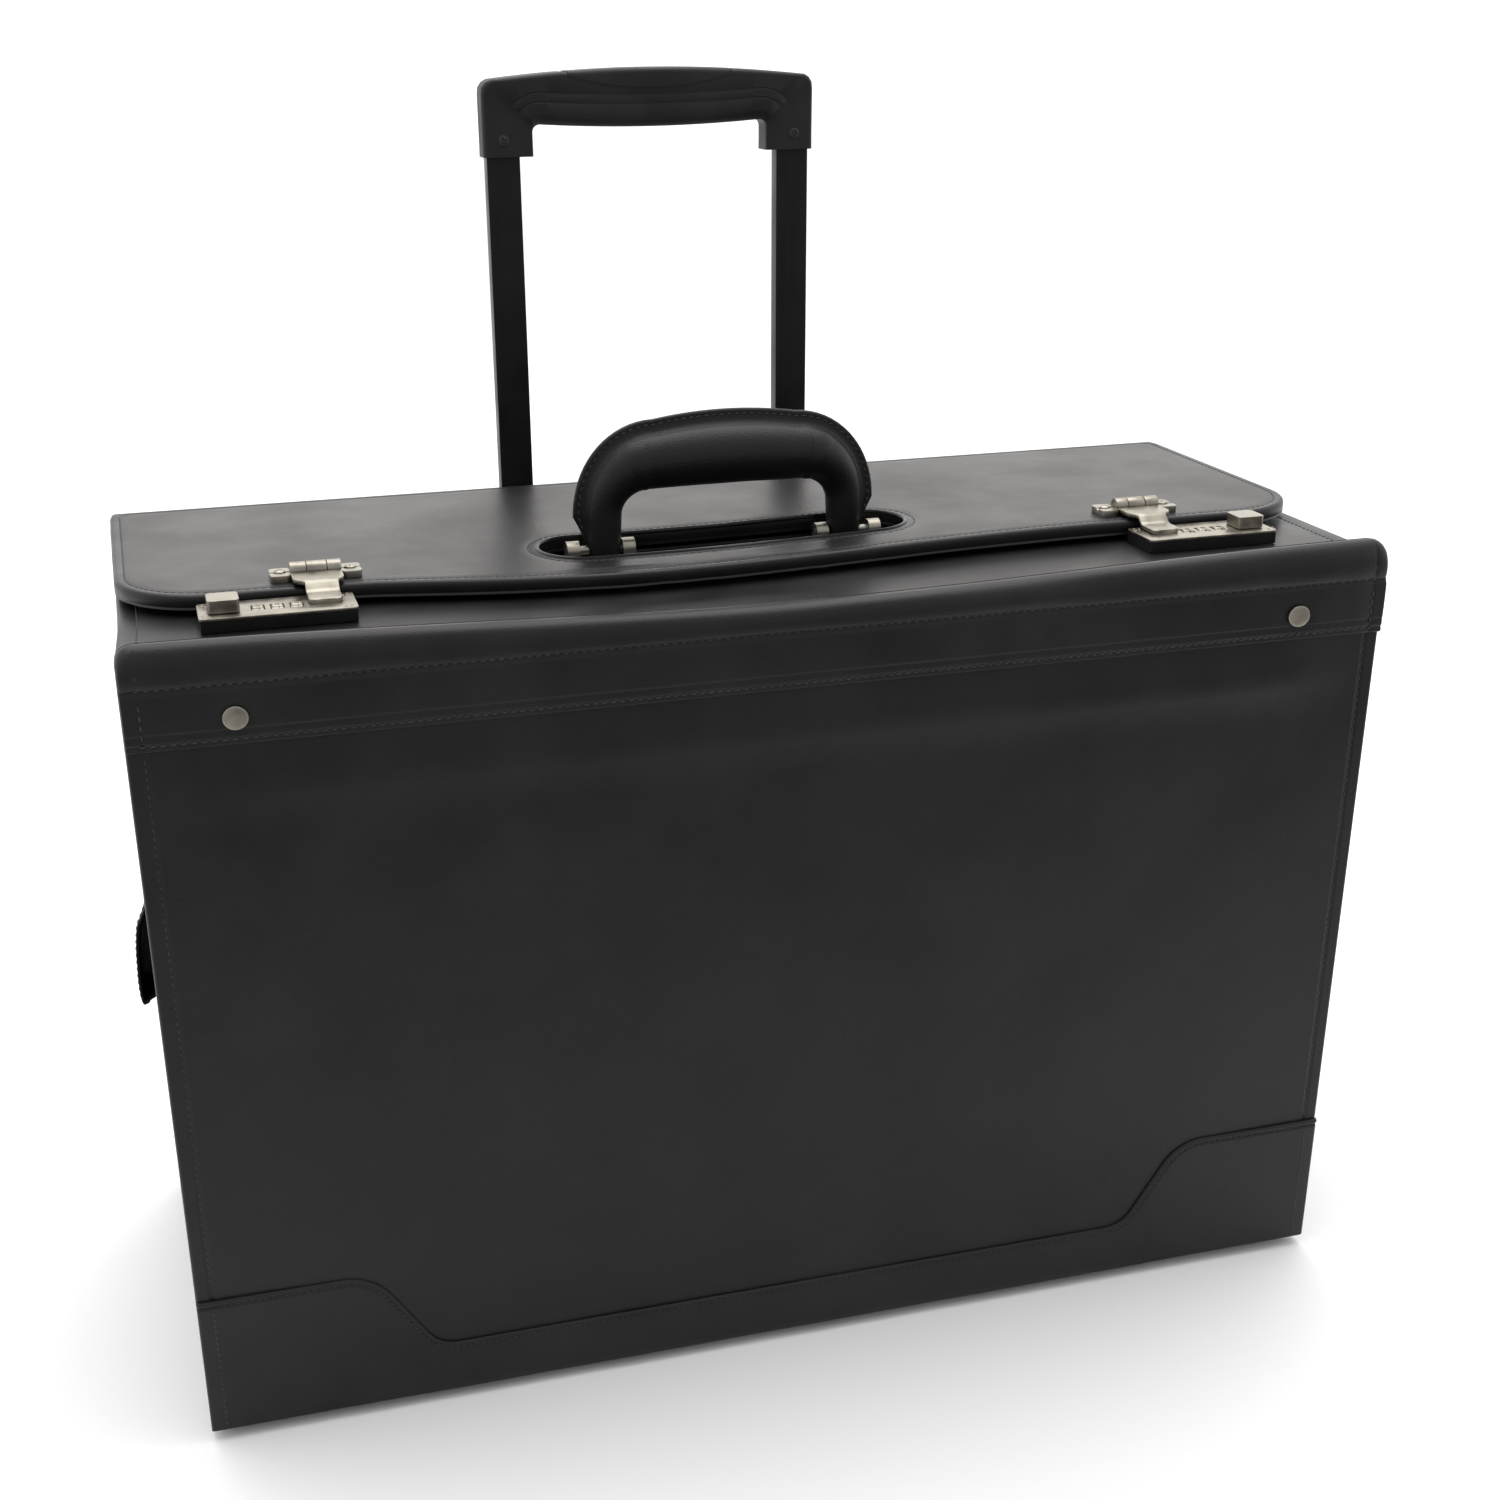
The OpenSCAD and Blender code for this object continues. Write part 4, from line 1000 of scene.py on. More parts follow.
def makeHingeLeather():
    # one strip from the rear wall up to the lid's rear edge
    thick, inset = hingeShape["thick"], hingeShape["inset"]
    rearLow = wallTop - hingeShape["down"]
    path = [(caseDeep + 0.02, z) for z in stops(rearLow, lidHigh.z - 1.2, 2.0)]
    outer = []
    for i, (y, z) in enumerate(path):
        a, b = path[max(0, i - 1)], path[min(len(path) - 1, i + 1)]
        along = Vector((b[0] - a[0], b[1] - a[1])).normalized()
        ends = min(i, len(path) - 1 - i)
        lift = thick * (0.35, 0.8, 1.0)[min(ends, 2)]
        outer.append((y + along.y * lift, z - along.x * lift))
    xs = stops(inset, caseWide - inset, 12, (inset, 2, 0.5), (caseWide - inset, 2, 0.5))
    bm = bmesh.new()
    slab(bm, [[(x, y + 0.15 * wave(x, z, 60, 3.3), z) for x in xs] for y, z in outer],
         [[(x, y - 0.03, z) for x in xs] for y, z in path])
    strip = toObject("lidHingeLeather", bm, blackLeather)
    at(middleX, caseDeep, wallTop)
    at(middleX, caseDeep, lidHigh.z - 3.5)
    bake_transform(strip)
    x, y = inset + hingeShape["seamIn"], caseDeep + thick
    for name, z, body in (("hingeSeamWall", rearLow + 3, "case"), ("hingeSeamLid", lidHigh.z - 2.6, "lid")):
        sewn(name, [straight((x, y, z), (caseWide - x, y, z), (0, 1, 0))], body, 3.4)


makeLid()
makeInnerFlap()
makeHingeLeather()
print("lid made")


screwShape = {"slotWide": 0.55, "slotDeep": 0.5, "crossWide": 0.8, "crossDeep": 0.9}
facing = {"x": Vector((1, 0, 0)), "-x": Vector((-1, 0, 0)), "y": Vector((0, 1, 0)), "-y": Vector((0, -1, 0)),
          "z": Vector((0, 0, 1))}


def screwHead(bm, centre, out, radius, high, turn, cross=False):
    # domed head with a cut slot or cross, drawn as a grid bent onto the dome
    normal = facing[out]
    side = Vector((0, 0, 1)).cross(normal) if abs(normal.z) < 0.5 else Vector((1, 0, 0))
    side.normalize()
    up = normal.cross(side)
    u = side * cos(turn) + up * sin(turn)
    v = normal.cross(u)
    wide = screwShape["crossWide" if cross else "slotWide"] / 2
    deep = screwShape["crossDeep" if cross else "slotDeep"]
    steps = 26
    reach = [-1 + 2 * k / steps for k in range(steps + 1)]

    def place(a, b):
        # square grid squeezed to a disc
        x, y = a * sqrt(max(0.0, 1 - b * b / 2)), b * sqrt(max(0.0, 1 - a * a / 2))
        r = min(1.0, hypot(x, y))
        h = high * (0.35 + 0.65 * (1 - r ** 2.2)) if r < 0.97 else high * 0.3
        px, py = x * radius, y * radius
        arm = radius * (0.62 if cross else 0.97)
        inSlot = abs(py) < wide and abs(px) < arm
        if cross:
            inSlot = inSlot or (abs(px) < wide and abs(py) < arm)
        if inSlot:
            h = max(0.08, h - deep * (1 - 0.5 * r))
        return Vector(centre) + u * px + v * py + normal * h

    def under(a, b):
        p = place(a, b)
        return p - normal * (p - Vector(centre)).dot(normal) - normal * 0.1

    grid = [[bm.verts.new(at(*place(a, b))) for a in reach] for b in reach]
    foot = [[bm.verts.new(at(*under(a, b))) for a in reach] for b in reach]
    for i in range(steps):
        for j in range(steps):
            bm.faces.new((grid[i][j], grid[i][j + 1], grid[i + 1][j + 1], grid[i + 1][j]))
            bm.faces.new((foot[i][j], foot[i + 1][j], foot[i + 1][j + 1], foot[i][j + 1]))
    for k in range(steps):
        for line in (((0, k), (0, k + 1)), ((steps, k), (steps, k + 1)), ((k, 0), (k + 1, 0)),
                     ((k, steps), (k + 1, steps))):
            (a, b), (c, d) = line
            bm.faces.new((grid[a][b], grid[c][d], foot[c][d], foot[a][b]))


strokes = {"a": ((0, 1), (1, 1)), "b": ((1, 1), (1, 0.5)), "c": ((1, 0.5), (1, 0)), "d": ((0, 0), (1, 0)),
           "e": ((0, 0), (0, 0.5)), "f": ((0, 0.5), (0, 1)), "g": ((0, 0.5), (1, 0.5))}
digitStrokes = ("abcdef", "bc", "abged", "abgcd", "fgbc", "afgcd", "afgedc", "abc", "abcdefg", "abcdfg")
dialShape = {"digits": 10, "scallop": 0.28, "digitWide": 1.3, "digitHigh": 1.6, "line": 0.24, "lift": 0.05}


def makeDial(node, name):
    s = dialShape
    low, high = caseSpan(node)
    cx, cy, cz = (low + high) / 2
    radius = (high.z - low.z) / 2
    wide = high.x - low.x
    hole = 1.05
    steps = s["digits"] * 8
    sections = []
    for i in range(steps):
        a = 2 * pi * i / steps
        ridge = s["scallop"] * (0.5 - 0.5 * cos(a * s["digits"])) ** 3
        ring = []
        for x, r in ((-0.5, hole), (-0.5, radius - 0.9), (-0.46, radius - 0.45), (-0.38, radius - 0.12),
                     (-0.3, radius), (0.3, radius), (0.38, radius - 0.12), (0.46, radius - 0.45),
                     (0.5, radius - 0.9), (0.5, hole)):
            rr = r - (ridge if r > radius - 0.3 else 0)
            ring.append((cx + x * wide, cy + rr * cos(a), cz + rr * sin(a)))
        sections.append(ring)
    bm = bmesh.new()
    ringSolid(bm, sections)
    body = frame["nodes"][node]["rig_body"]
    addPiece(name, bm, dialMetal, body, (node,))
    bm = bmesh.new()
    for digit in range(s["digits"]):
        middle = pi / 2 + 2 * pi * digit / s["digits"]
        for letter in digitStrokes[digit]:
            (x0, y0), (x1, y1) = strokes[letter]
            half = s["line"] / 2
            lowX, highX = min(x0, x1) * s["digitWide"] - half, max(x0, x1) * s["digitWide"] + half
            lowY, highY = min(y0, y1) * s["digitHigh"] - half, max(y0, y1) * s["digitHigh"] + half
            rings = []
            for t in (0, 0.34, 0.67, 1):
                # a dial is read from the front, so a digit's top is further back
                a = middle - (lowY + (highY - lowY) * t - s["digitHigh"] / 2) / radius
                ring = []
                for x, r in ((lowX, radius - 0.1), (highX, radius - 0.1), (highX, radius + s["lift"]),
                             (lowX, radius + s["lift"])):
                    ring.append((cx + x - s["digitWide"] / 2, cy + r * cos(a), cz + r * sin(a)))
                rings.append(ring)
            loft(bm, rings)
    addPiece(name + "Digits", bm, markPaint, body, smoothAngle=20)


haspShape = {"sheet": 2.0, "shoulder": 3.6, "tip": 2.6, "round": 0.4, "barrelR": 3.5, "barrelY": 78.0,
             "tongueHalf": 7.0, "tongueShift": 0.7, "shoulderY": 62.4}


def makeHasp(side):
    # cranked plate: wide at the barrel, narrow tongue over the lock, with rounded shoulders
    s = haspShape
    node = "hasp_" + side.lower()
    mirror = side == "Right"
    low, high = caseSpan("hasp_left")
    barrelR, tongueHalf = s["barrelR"], s["tongueHalf"]
    barrelMid = (low.x + high.x) / 2
    wideHalf = (high.x - low.x) / 2
    barrelY, barrelZ = s["barrelY"], caseSpan("hasp_pins")[0].z + 1.5
    topHigh = barrelZ - 2.2 + s["sheet"]
    topLow = lidHigh.z - 2.5 + s["sheet"]
    rootY, shoulderY, tipY = barrelY - barrelR - 0.3, s["shoulderY"], low.y
    line = [(rootY, topHigh), (60.4, topHigh), (59.2, topHigh - 0.25), (57.2, topHigh - 1.9),
            (55.6, topLow + 0.5), (54.2, topLow + 0.05), (52.5, topLow), (47.2, topLow),
            (45.6, topLow - 0.05), (tipY, topLow - 0.35)]
    ys = []
    for a, b in zip(line, line[1:]):
        n = max(1, int((a[0] - b[0]) / 0.7))
        ys += [(a[0] + (b[0] - a[0]) * k / n, a[1] + (b[1] - a[1]) * k / n) for k in range(n)]
    ys.append(line[-1])

    def half(y):
        if y > shoulderY + s["shoulder"]:
            return wideHalf
        if y > shoulderY - 2.2:
            t = (shoulderY + s["shoulder"] - y) / (s["shoulder"] + 2.2)
            return wideHalf - (wideHalf - tongueHalf) * (1 - sqrt(max(0.0, 1 - t * t)))
        if y < tipY + s["tip"]:
            return tongueHalf - roundOff(y - tipY, s["tip"])
        return tongueHalf

    rings = []
    r = s["round"]
    for y, z in ys:
        h = half(y)
        mid = barrelMid + s["tongueShift"] * (wideHalf - h) / (wideHalf - tongueHalf)
        under = z - s["sheet"]
        ring = [(mid - h + r, y, under), (mid - h, y, under + r), (mid - h, y, z - r),
                (mid - h + 0.3 * r, y, z - 0.3 * r), (mid - h + r, y, z), (mid - h * 0.5, y, z + 0.05),
                (mid, y, z + 0.08), (mid + h * 0.5, y, z + 0.05), (mid + h - r, y, z),
                (mid + h - 0.3 * r, y, z - 0.3 * r), (mid + h, y, z - r), (mid + h, y, under + r),
                (mid + h - r, y, under), (mid, y, under)]
        rings.append(ring)
    knuckleLow, knuckleHigh = barrelMid - 3.75, barrelMid + 4.75
    eased = ((0, 0.4), (0.12, 0.1), (0.4, 0))
    barrel = [(knuckleLow + along, barrelR - less) for along, less in eased]
    barrel += [(knuckleHigh - along, barrelR - less) for along, less in reversed(eased)]
    turns = [2 * pi * k / 32 for k in range(32)]
    knuckle = [[(x, barrelY + radius * cos(a), barrelZ + radius * sin(a)) for a in turns]
               for x, radius in barrel]
    arm = [[(x, rootY + 0.4, topHigh - 1.9), (x, rootY + 0.4, topHigh - 0.05),
            (x, barrelY - 1.6, topHigh + 1.2), (x, barrelY - 1.0, topHigh - 1.9)]
           for x in (knuckleLow + 0.2, knuckleHigh - 0.2)]
    staple = [[(x, 48, topLow - 6.0), (x, 49.5, topLow - 6.0), (x, 49.5, topLow - 1.5), (x, 48, topLow - 1.5)]
              for x in (barrelMid - 2.05, barrelMid + 1.95)]
    bm = bmesh.new()
    for part in (rings, knuckle, arm, staple):
        if mirror:
            part = [mirrored(ring) for ring in part]
        loft(bm, part)
    piece = toObject("hasp" + side, bm, nickel, 40)
    fit(piece, node, (node,))


plateDots = {"radius": 0.55, "high": 0.3, "plateLong": 64.5,
             "spots": ((2.6, 2.4), (5.2, 2.2), (2.2, 5.0), (4.4, 4.4))}


def makeLockDots():
    s = plateDots
    low, high = caseSpan("lock_plates")
    profile = [(-0.1, s["radius"]), (0.05, s["radius"]), (0.18, s["radius"] * 0.8),
               (s["high"], s["radius"] * 0.3), (s["high"], 0.05)]
    bm = bmesh.new()
    for mirror in (False, True):
        for dx, dy in s["spots"]:
            for cx in (low.x + dx, low.x + s["plateLong"] - dx):
                for cy in (low.y + dy, high.y - dy):
                    lathe(bm, profile, (caseWide - cx if mirror else cx, cy, high.z), "z", 14)
    addPiece("lockPlateDots", bm, nickel, "case", smoothAngle=60)


bevelled("lock_bases", "lockBases", gripLeather, 0.7)
bevelled("lock_plates", "lockPlates", nickel, 0.28, 2)
bevelled("dial_shafts", "dialShafts", zincSteel, 0.1)
for side in ("left", "right"):
    bevelled("lock_button_" + side, "lockButton" + side.title(), nickel, 1.5, 5)
    for i in (1, 2, 3):
        makeDial("dial_%s_%d" % (side, i), "dial%s%d" % (side.title(), i))
makeLockDots()
makeHasp("Left")
makeHasp("Right")
bevelled("hasp_brackets", "haspBrackets", nickel, 0.35, 2)
bevelled("hasp_pins", "haspPins", zincSteel, 0.2)


haspScrews = {"y": 79, "apart": 4.25, "pinLong": 21.5, "radius": 2.5, "high": 1.1,
              "turns": (0.5, 1.4, 0.9, 2.3)}


def makeHaspScrews():
    s = haspScrews
    headZ = min(caseSpan("hasp_brackets")[1].z, lidHigh.z + 3)
    barrelLow = caseSpan("hasp_pins")[0].x
    spots = [barrelLow - s["apart"], barrelLow + s["pinLong"] + s["apart"]]
    bm = bmesh.new()
    for x, turn in zip(spots + [caseWide - x for x in spots], s["turns"]):
        screwHead(bm, (x, s["y"], headZ), "z", s["radius"], s["high"], turn)
    addPiece("haspScrews", bm, nickel, "lid", ("hasp_screws",), smoothAngle=30)


makeHaspScrews()
print("locks and hasps made")


bevelled("handle_brackets", "handleBrackets", nickel, 0.5)
bevelled("handle_pins", "handlePins", zincSteel, 0.3)
bevelled("carry_handle_core", "carryHandleCore", zincSteel, 0.1)

handleShape = {
    "legIn": 58.0, "legFrom": 360.2, "bendFrom": 378.0, "bend": 24.0, "arch": 1.6,
    "footR": 7.4, "legR": 8.2, "gripR": 13.8, "fin": 6.0, "finHalf": 1.5, "pivot": 112.0,
    "lapLift": (0.15, 0.55, 0.6, 0.4, 0.05),
}


def handleStations():
    # centre line from the left foot to the right one: place, outward direction, share along the leg or grip
    s = handleShape
    stations = []
    for z in stops(s["legFrom"], s["bendFrom"], 1.6):
        t = (z - s["legFrom"]) / (s["bendFrom"] - s["legFrom"])
        stations.append((Vector((-s["legIn"], z)), Vector((-1, 0)),
                         s["footR"] + (s["legR"] - s["footR"]) * t, t ** 1.5))
    for k in range(1, 18):
        a = pi / 2 * k / 18
        p = Vector((-s["legIn"] + s["bend"] * (1 - cos(a)), s["bendFrom"] + s["bend"] * sin(a)))
        t = a / (pi / 2)
        ease = t * t * (3 - 2 * t)
        stations.append((p, Vector((-cos(a), sin(a))), s["legR"] + (s["gripR"] - 1.2 - s["legR"]) * ease, 1))
    flat = s["legIn"] - s["bend"]
    for x in stops(-flat, 0, 2.4):
        rise = s["arch"] * (1 - (x / flat) ** 2)
        full = s["gripR"] - 1.2 * (x / flat) ** 2
        stations.append((Vector((x, s["bendFrom"] + s["bend"] + rise)), Vector((0, 1)), full, 1))
    mirrorOf = [(Vector((-p.x, p.y)), Vector((-n.x, n.y)), r, f) for p, n, r, f in reversed(stations[:-1])]
    return stations + mirrorOf


def makeCarryHandle():
    s = handleShape
    stations = handleStations()
    rings = []
    finFace = []
    for p, out, r, fin in stations:
        reach = s["fin"] * min(1.0, fin)
        half = s["finHalf"]
        wobble = 1 + 0.012 * noise.noise(Vector((p.x / 17, p.y / 17, 0.7)))
        gap = pi * 0.13
        ring = []
        steps = 30
        for k in range(steps + 1):
            a = gap + (2 * pi - 2 * gap) * k / steps
            lobe = 1 + 0.03 * cos(2 * a)
            ring.append((cos(a) * r * wobble * lobe, sin(a) * r * wobble))
        neck = r * cos(gap * 0.45)
        tip = r + reach
        spread = [(neck, -half - 0.9), (neck + 0.35 * reach + 0.1, -half - 0.1),
                  (tip - 0.52 * reach, -half), (tip - 0.38 * reach, -half + 0.25),
                  (tip - 0.25 * reach, -half + 0.05), (tip - 0.12 * reach, -half + 0.15),
                  (tip - 0.02, -half * 0.55), (tip + 0.02, 0)]
        spread += [(a, -b) for a, b in reversed(spread[:-1])]
        ring += spread
        rings.append([(middleX + p.x + out.x * a, s["pivot"] + b, p.y + out.y * a) for a, b in ring])
        finFace.append((p + out * (r + reach * 0.62), reach))
    bm = bmesh.new()
    loft(bm, rings)
    grip = toObject("carryHandleGrip", bm, gripLeather, 60)
    fit(grip, "carry_handle", ("carry_handle_grip",))
    used = [(p, reach) for p, reach in finFace if reach > 3]
    seams = []
    for sign in (-1, 1):
        y = s["pivot"] + sign * (s["finHalf"] - 0.1)
        seams.append(([(middleX + p.x, y, p.y) for p, reach in used], (0, sign, 0)))
    sewn("carryHandleSeams", seams, "carry_handle", 3.6, length=2.5)
    lapTurns = [pi * 0.16 + pi * 1.68 * q / 26 for q in range(27)]
    bm = bmesh.new()
    for sign in (-1, 1):
        # overlapping end of the grip's wrap, just above each leg
        skins = []
        for lifts in (s["lapLift"], (-0.4,) * 5):
            skin = []
            for k, lift in enumerate(lifts):
                p, out, r, fin = stations[23 + k] if sign < 0 else stations[-24 - k]
                skin.append([(middleX + p.x + out.x * (r + lift) * cos(a), s["pivot"] + (r + lift) * sin(a),
                              p.y + out.y * (r + lift) * cos(a)) for a in lapTurns])
            skins.append(skin)
        slab(bm, *skins)
    addPiece("carryHandleLap", bm, gripLeather, "carry_handle")


makeCarryHandle()
print("carry handle made")


# its route from the upper rivet down to the lower one, as (x, z)
strapShape = {"wide": 26.0, "middle": 115.0, "thick": 2.2, "tab": 1.6, "cup": 0.5, "twist": 3.6,
              "route": ((-0.85, 233.6), (-0.85, 221), (-2.6, 213), (-4.6, 204), (-5.8, 195), (-6.3, 186),
                        (-6.6, 177), (-6.2, 169), (-5.0, 166.4), (-3.6, 168), (-1.8, 170), (-0.85, 165),
                        (-0.85, 144.4)), "rivets": (227, 151)}


def makeSideStrap():
    s = strapShape
    path = smoothed(s["route"], 8)
    rings = []
    for i, (x, z) in enumerate(path):
        a, b = path[max(0, i - 1)], path[min(len(path) - 1, i + 1)]
        along = Vector((b[0] - a[0], b[1] - a[1])).normalized()
        out = Vector((along.y, -along.x))
        away = unit((-x - 1.2) / 3)
        thick = s["tab"] + (s["thick"] - s["tab"]) * away
        ends = min(i, len(path) - 1 - i)
        half = s["wide"] / 2 - (1.6, 0.6, 0.15)[ends] if ends < 3 else s["wide"] / 2
        ring = []
        columns = 14
        for side in (1, -1):
            for k in range(columns + 1):
                u = side * (-1 + 2 * k / columns)
                edge = roundOff((1 - abs(u)) * half, 0.8) * 0.7
                cup = s["cup"] * away * u * u
                seam = groove(abs(abs(u) - 0.8) * half, 1.1, 0.3)
                t = side * (thick / 2 - edge - (seam if side > 0 else 0)) - cup
                ring.append((x + out.x * t + s["twist"] * away * u, s["middle"] + u * half, z + out.y * t))
        rings.append(ring)
    bm = bmesh.new()
    loft(bm, rings)
    strap = addPiece("sideStrap", bm, strapLeather, "case", ("side_strap",))
    pathLength(path) * mm
    rows = []
    for sign in (-1, 1):
        line, normals = [], []
        for i in range(3, len(path) - 3):
            a, b = Vector(path[i - 1]), Vector(path[i + 1])
            along = (b - a).normalized()
            out = Vector((along.y, -along.x))
            x, z = Vector(path[i]) + out * (s["thick"] / 2 - 0.35)
            away = unit((-path[i][0] - 1.2) / 3)
            line.append((x + s["twist"] * away * sign * 0.8, s["middle"] + sign * s["wide"] * 0.4, z))
            normals.append((out.x, 0, out.y))
        rows.append((line, normals))
    sewn("sideStrapSeams", rows, "case", 3.4)
    bm = bmesh.new()
    dome = [(-1.4, 4.0), (-2.0, 4.1), (-2.45, 3.9), (-2.8, 3.2), (-3.05, 2.0), (-3.15, 0.8), (-3.15, 0.1)]
    for z in s["rivets"]:
        lathe(bm, dome, (0, s["middle"], z), "x", 32)
    addPiece("sideStrapRivets", bm, nickel, "case", ("side_strap_rivets",), smoothAngle=50)


def smoothed(corners, steps):
    # a soft curve through the given points
    points = [Vector(c) for c in corners]
    points = [points[0] * 2 - points[1]] + points + [points[-1] * 2 - points[-2]]
    out = []
    for i in range(1, len(points) - 2):
        a, b, c, d = points[i - 1:i + 3]
        for k in range(steps):
            t = k / steps
            out.append(tuple(0.5 * (2 * b + (c - a) * t + (2 * a - 5 * b + 4 * c - d) * t * t
                                    + (3 * b - a - 3 * c + d) * t ** 3)))
    out.append(tuple(points[-2]))
    return out


def pathLength(path):
    return sum((Vector(b) - Vector(a)).length for a, b in zip(path, path[1:]))


makeSideStrap()
print("side strap made")


wheelShape = {"grooves": (-4.6, 0, 4.6), "grooveDeep": 0.8, "spokes": 6, "spokeHalf": 2.2, "tyreDeep": 5,
              "bore": 3.05}


def makeWheel(side):
    s = wheelShape
    tyreNode, hubNode = "tyre_" + side.lower(), "hub_" + side.lower()
    low, high = caseSpan(tyreNode)
    centre = (low + high) / 2
    radius, half = (high.z - low.z) / 2, (high.x - low.x) / 2
    rim = radius - s["tyreDeep"]
    profile = [(-half + 0.6, rim), (-half, rim + 0.5), (-half, rim + 2), (-half + 0.5, radius - 2.4),
               (-half + 1.6, radius - 1.0), (-half + 3.2, radius - 0.2)]
    for t in s["grooves"]:
        profile += [(t - 1.0, radius), (t - 0.6, radius - s["grooveDeep"]),
                    (t + 0.6, radius - s["grooveDeep"]), (t + 1.0, radius)]
    profile += [(-a, r) for a, r in reversed(profile[:6])]

    def turned(outline, steps):
        ringSolid(bm, [[(centre.x + u, centre.y + r * cos(a), centre.z + r * sin(a)) for u, r in outline]
                       for a in [2 * pi * i / steps for i in range(steps)]])

    bm = bmesh.new()
    turned(profile, 96)
    addPiece("tyre" + side, bm, tyreRubber, "wheel_" + side.lower(), (tyreNode,),
             smoothAngle=40)
    hubHalf = half + 1
    bm = bmesh.new()
    profile = [(-hubHalf, s["bore"]), (-hubHalf, 6.4), (-hubHalf + 0.6, 7), (-half + 3.0, 7.4),
               (-half + 2.2, 8.4), (-half + 2.2, rim - 3.2), (-half + 0.9, rim - 2.4), (-half, rim - 1.6),
               (-half, rim - 0.4), (-half + 0.5, rim)]
    profile += [(-a, r) for a, r in reversed(profile)]
    turned(profile, 72)
    for sign in (-1, 1):
        for k in range(s["spokes"]):
            a = 2 * pi * k / s["spokes"]
            along = Vector((0, cos(a), sin(a)))
            across = Vector((0, -sin(a), cos(a)))
            rings = []
            for r, w in ((6.2, 1.25), (9, 1.0), (rim - 4, 0.85), (rim - 1.4, 1.15)):
                ring = []
                for u, v in ((-1, 0), (-1, 0.8), (-0.6, 1), (0.6, 1), (1, 0.8), (1, 0)):
                    lift = half - 2.6 + v * (3.0 - 0.09 * (r - 6))
                    q = centre + along * r + across * (u * w * s["spokeHalf"])
                    ring.append((q.x + sign * lift, q.y, q.z))
                rings.append(ring)
            loft(bm, rings)
    addPiece("hub" + side, bm, hubPlastic, "wheel_" + side.lower(), (hubNode,), smoothAngle=40)


def makeFeet():
    low, high = caseSpan("front_feet")
    radius = (high.y - low.y) / 2
    bm = bmesh.new()
    for x in (low.x + radius, high.x - radius):
        profile = [(high.z, radius), (high.z - 1.2, radius), (low.z + 1.0, radius - 0.6),
                   (low.z + 0.3, radius - 1.1), (low.z, radius - 2), (low.z, 4.2), (low.z + 1.2, 3.2),
                   (low.z + 1.6, 0.1)]
        lathe(bm, profile, (x, (low.y + high.y) / 2, 0), "z", 40)
    addPiece("frontFeet", bm, footRubber, "case", ("front_feet",))


makeWheel("Left")
makeWheel("Right")
makeFeet()
bevelled("wheel_housings", "wheelHousings", housingPlastic, 1.2)
bevelled("wheel_axles", "wheelAxles", zincSteel, 0.4)
print("wheels made")


for node, name, width in (("outer_tubes", "outerTubes", 0.9), ("mid_tubes", "midTubes", 0.9),
                          ("inner_tubes", "innerTubes", 1.1)):
    bevelled(node, name, tubePaint, width, squeeze=0.72)
bevelled("top_bracket", "topBracket", housingPlastic, 1.0)
bevelled("bottom_bracket", "bottomBracket", housingPlastic, 1.0)
bevelled("release_rods", "releaseRods", zincSteel, 0.3)

gripShape = {"half": 83.5, "legWide": 24.5, "legFoot": 527.0, "under": 541.6, "dip": 2.0,
             "shoulder": 562.6, "rise": 4.2, "outerRound": 6.0, "innerRound": 3.5, "barHalf": 11.0,
             "legHalf": 7.0, "chamfer": 6.0, "lensHalf": 43.0, "lensHigh": 7.4, "wall": 1.4, "pocket": 6.4,
             "mouldLines": (10.5, 14.8), "middleY": 243.0}


def gripTop(x):
    s = gripShape
    return s["shoulder"] + s["rise"] * (1 - (x / (s["half"] - s["outerRound"])) ** 2)


def lensDrop(x):
    # how far the button's lens reaches down the face of the bar
    return gripShape["lensHigh"] * max(0.0, 1 - (x / gripShape["lensHalf"]) ** 2)


def gripStations():
    # pairs of inner and outer points from the left leg's foot over the bar to the middle
    s = gripShape
    inX, cornerZ = s["half"] - s["legWide"], s["under"] - s["innerRound"]
    legZs = stops(s["legFoot"], cornerZ - 1, 2.2, (s["legFoot"], 1.5, 0.5))
    pairs = [((-inX, z), (-s["half"], z)) for z in legZs]
    turns = 16
    for k in range(turns + 1):
        t = k / turns
        a = pi / 2 * t
        inner = (-inX + s["innerRound"] * (1 - cos(a)), cornerZ + s["innerRound"] * sin(a))
        # the outer point climbs the side, rounds the corner and runs in along the top
        climb = s["shoulder"] - s["outerRound"] - cornerZ
        arc = pi / 2 * s["outerRound"]
        run = s["legWide"] - s["outerRound"] + 1
        went = t * (climb + arc + run)
        if went < climb:
            outer = (-s["half"], cornerZ + went)
        elif went < climb + arc:
            b = (went - climb) / s["outerRound"]
            x = -s["half"] + s["outerRound"] * (1 - cos(b))
            outer = (x, s["shoulder"] - s["outerRound"] * (1 - sin(b)))
        else:
            x = -s["half"] + s["outerRound"] + went - climb - arc
            outer = (x, gripTop(x))
        pairs.append((inner, outer))
    lastIn, lastOut = pairs[-1]
    for k in range(1, 27):
        t = k / 26
        xi, xo = lastIn[0] * (1 - t), lastOut[0] * (1 - t)
        dip = s["dip"] * (1 - (xi / lastIn[0]) ** 2)
        pairs.append(((xi, s["under"] - dip), (xo, gripTop(xo) - lensDrop(xo))))
    return pairs


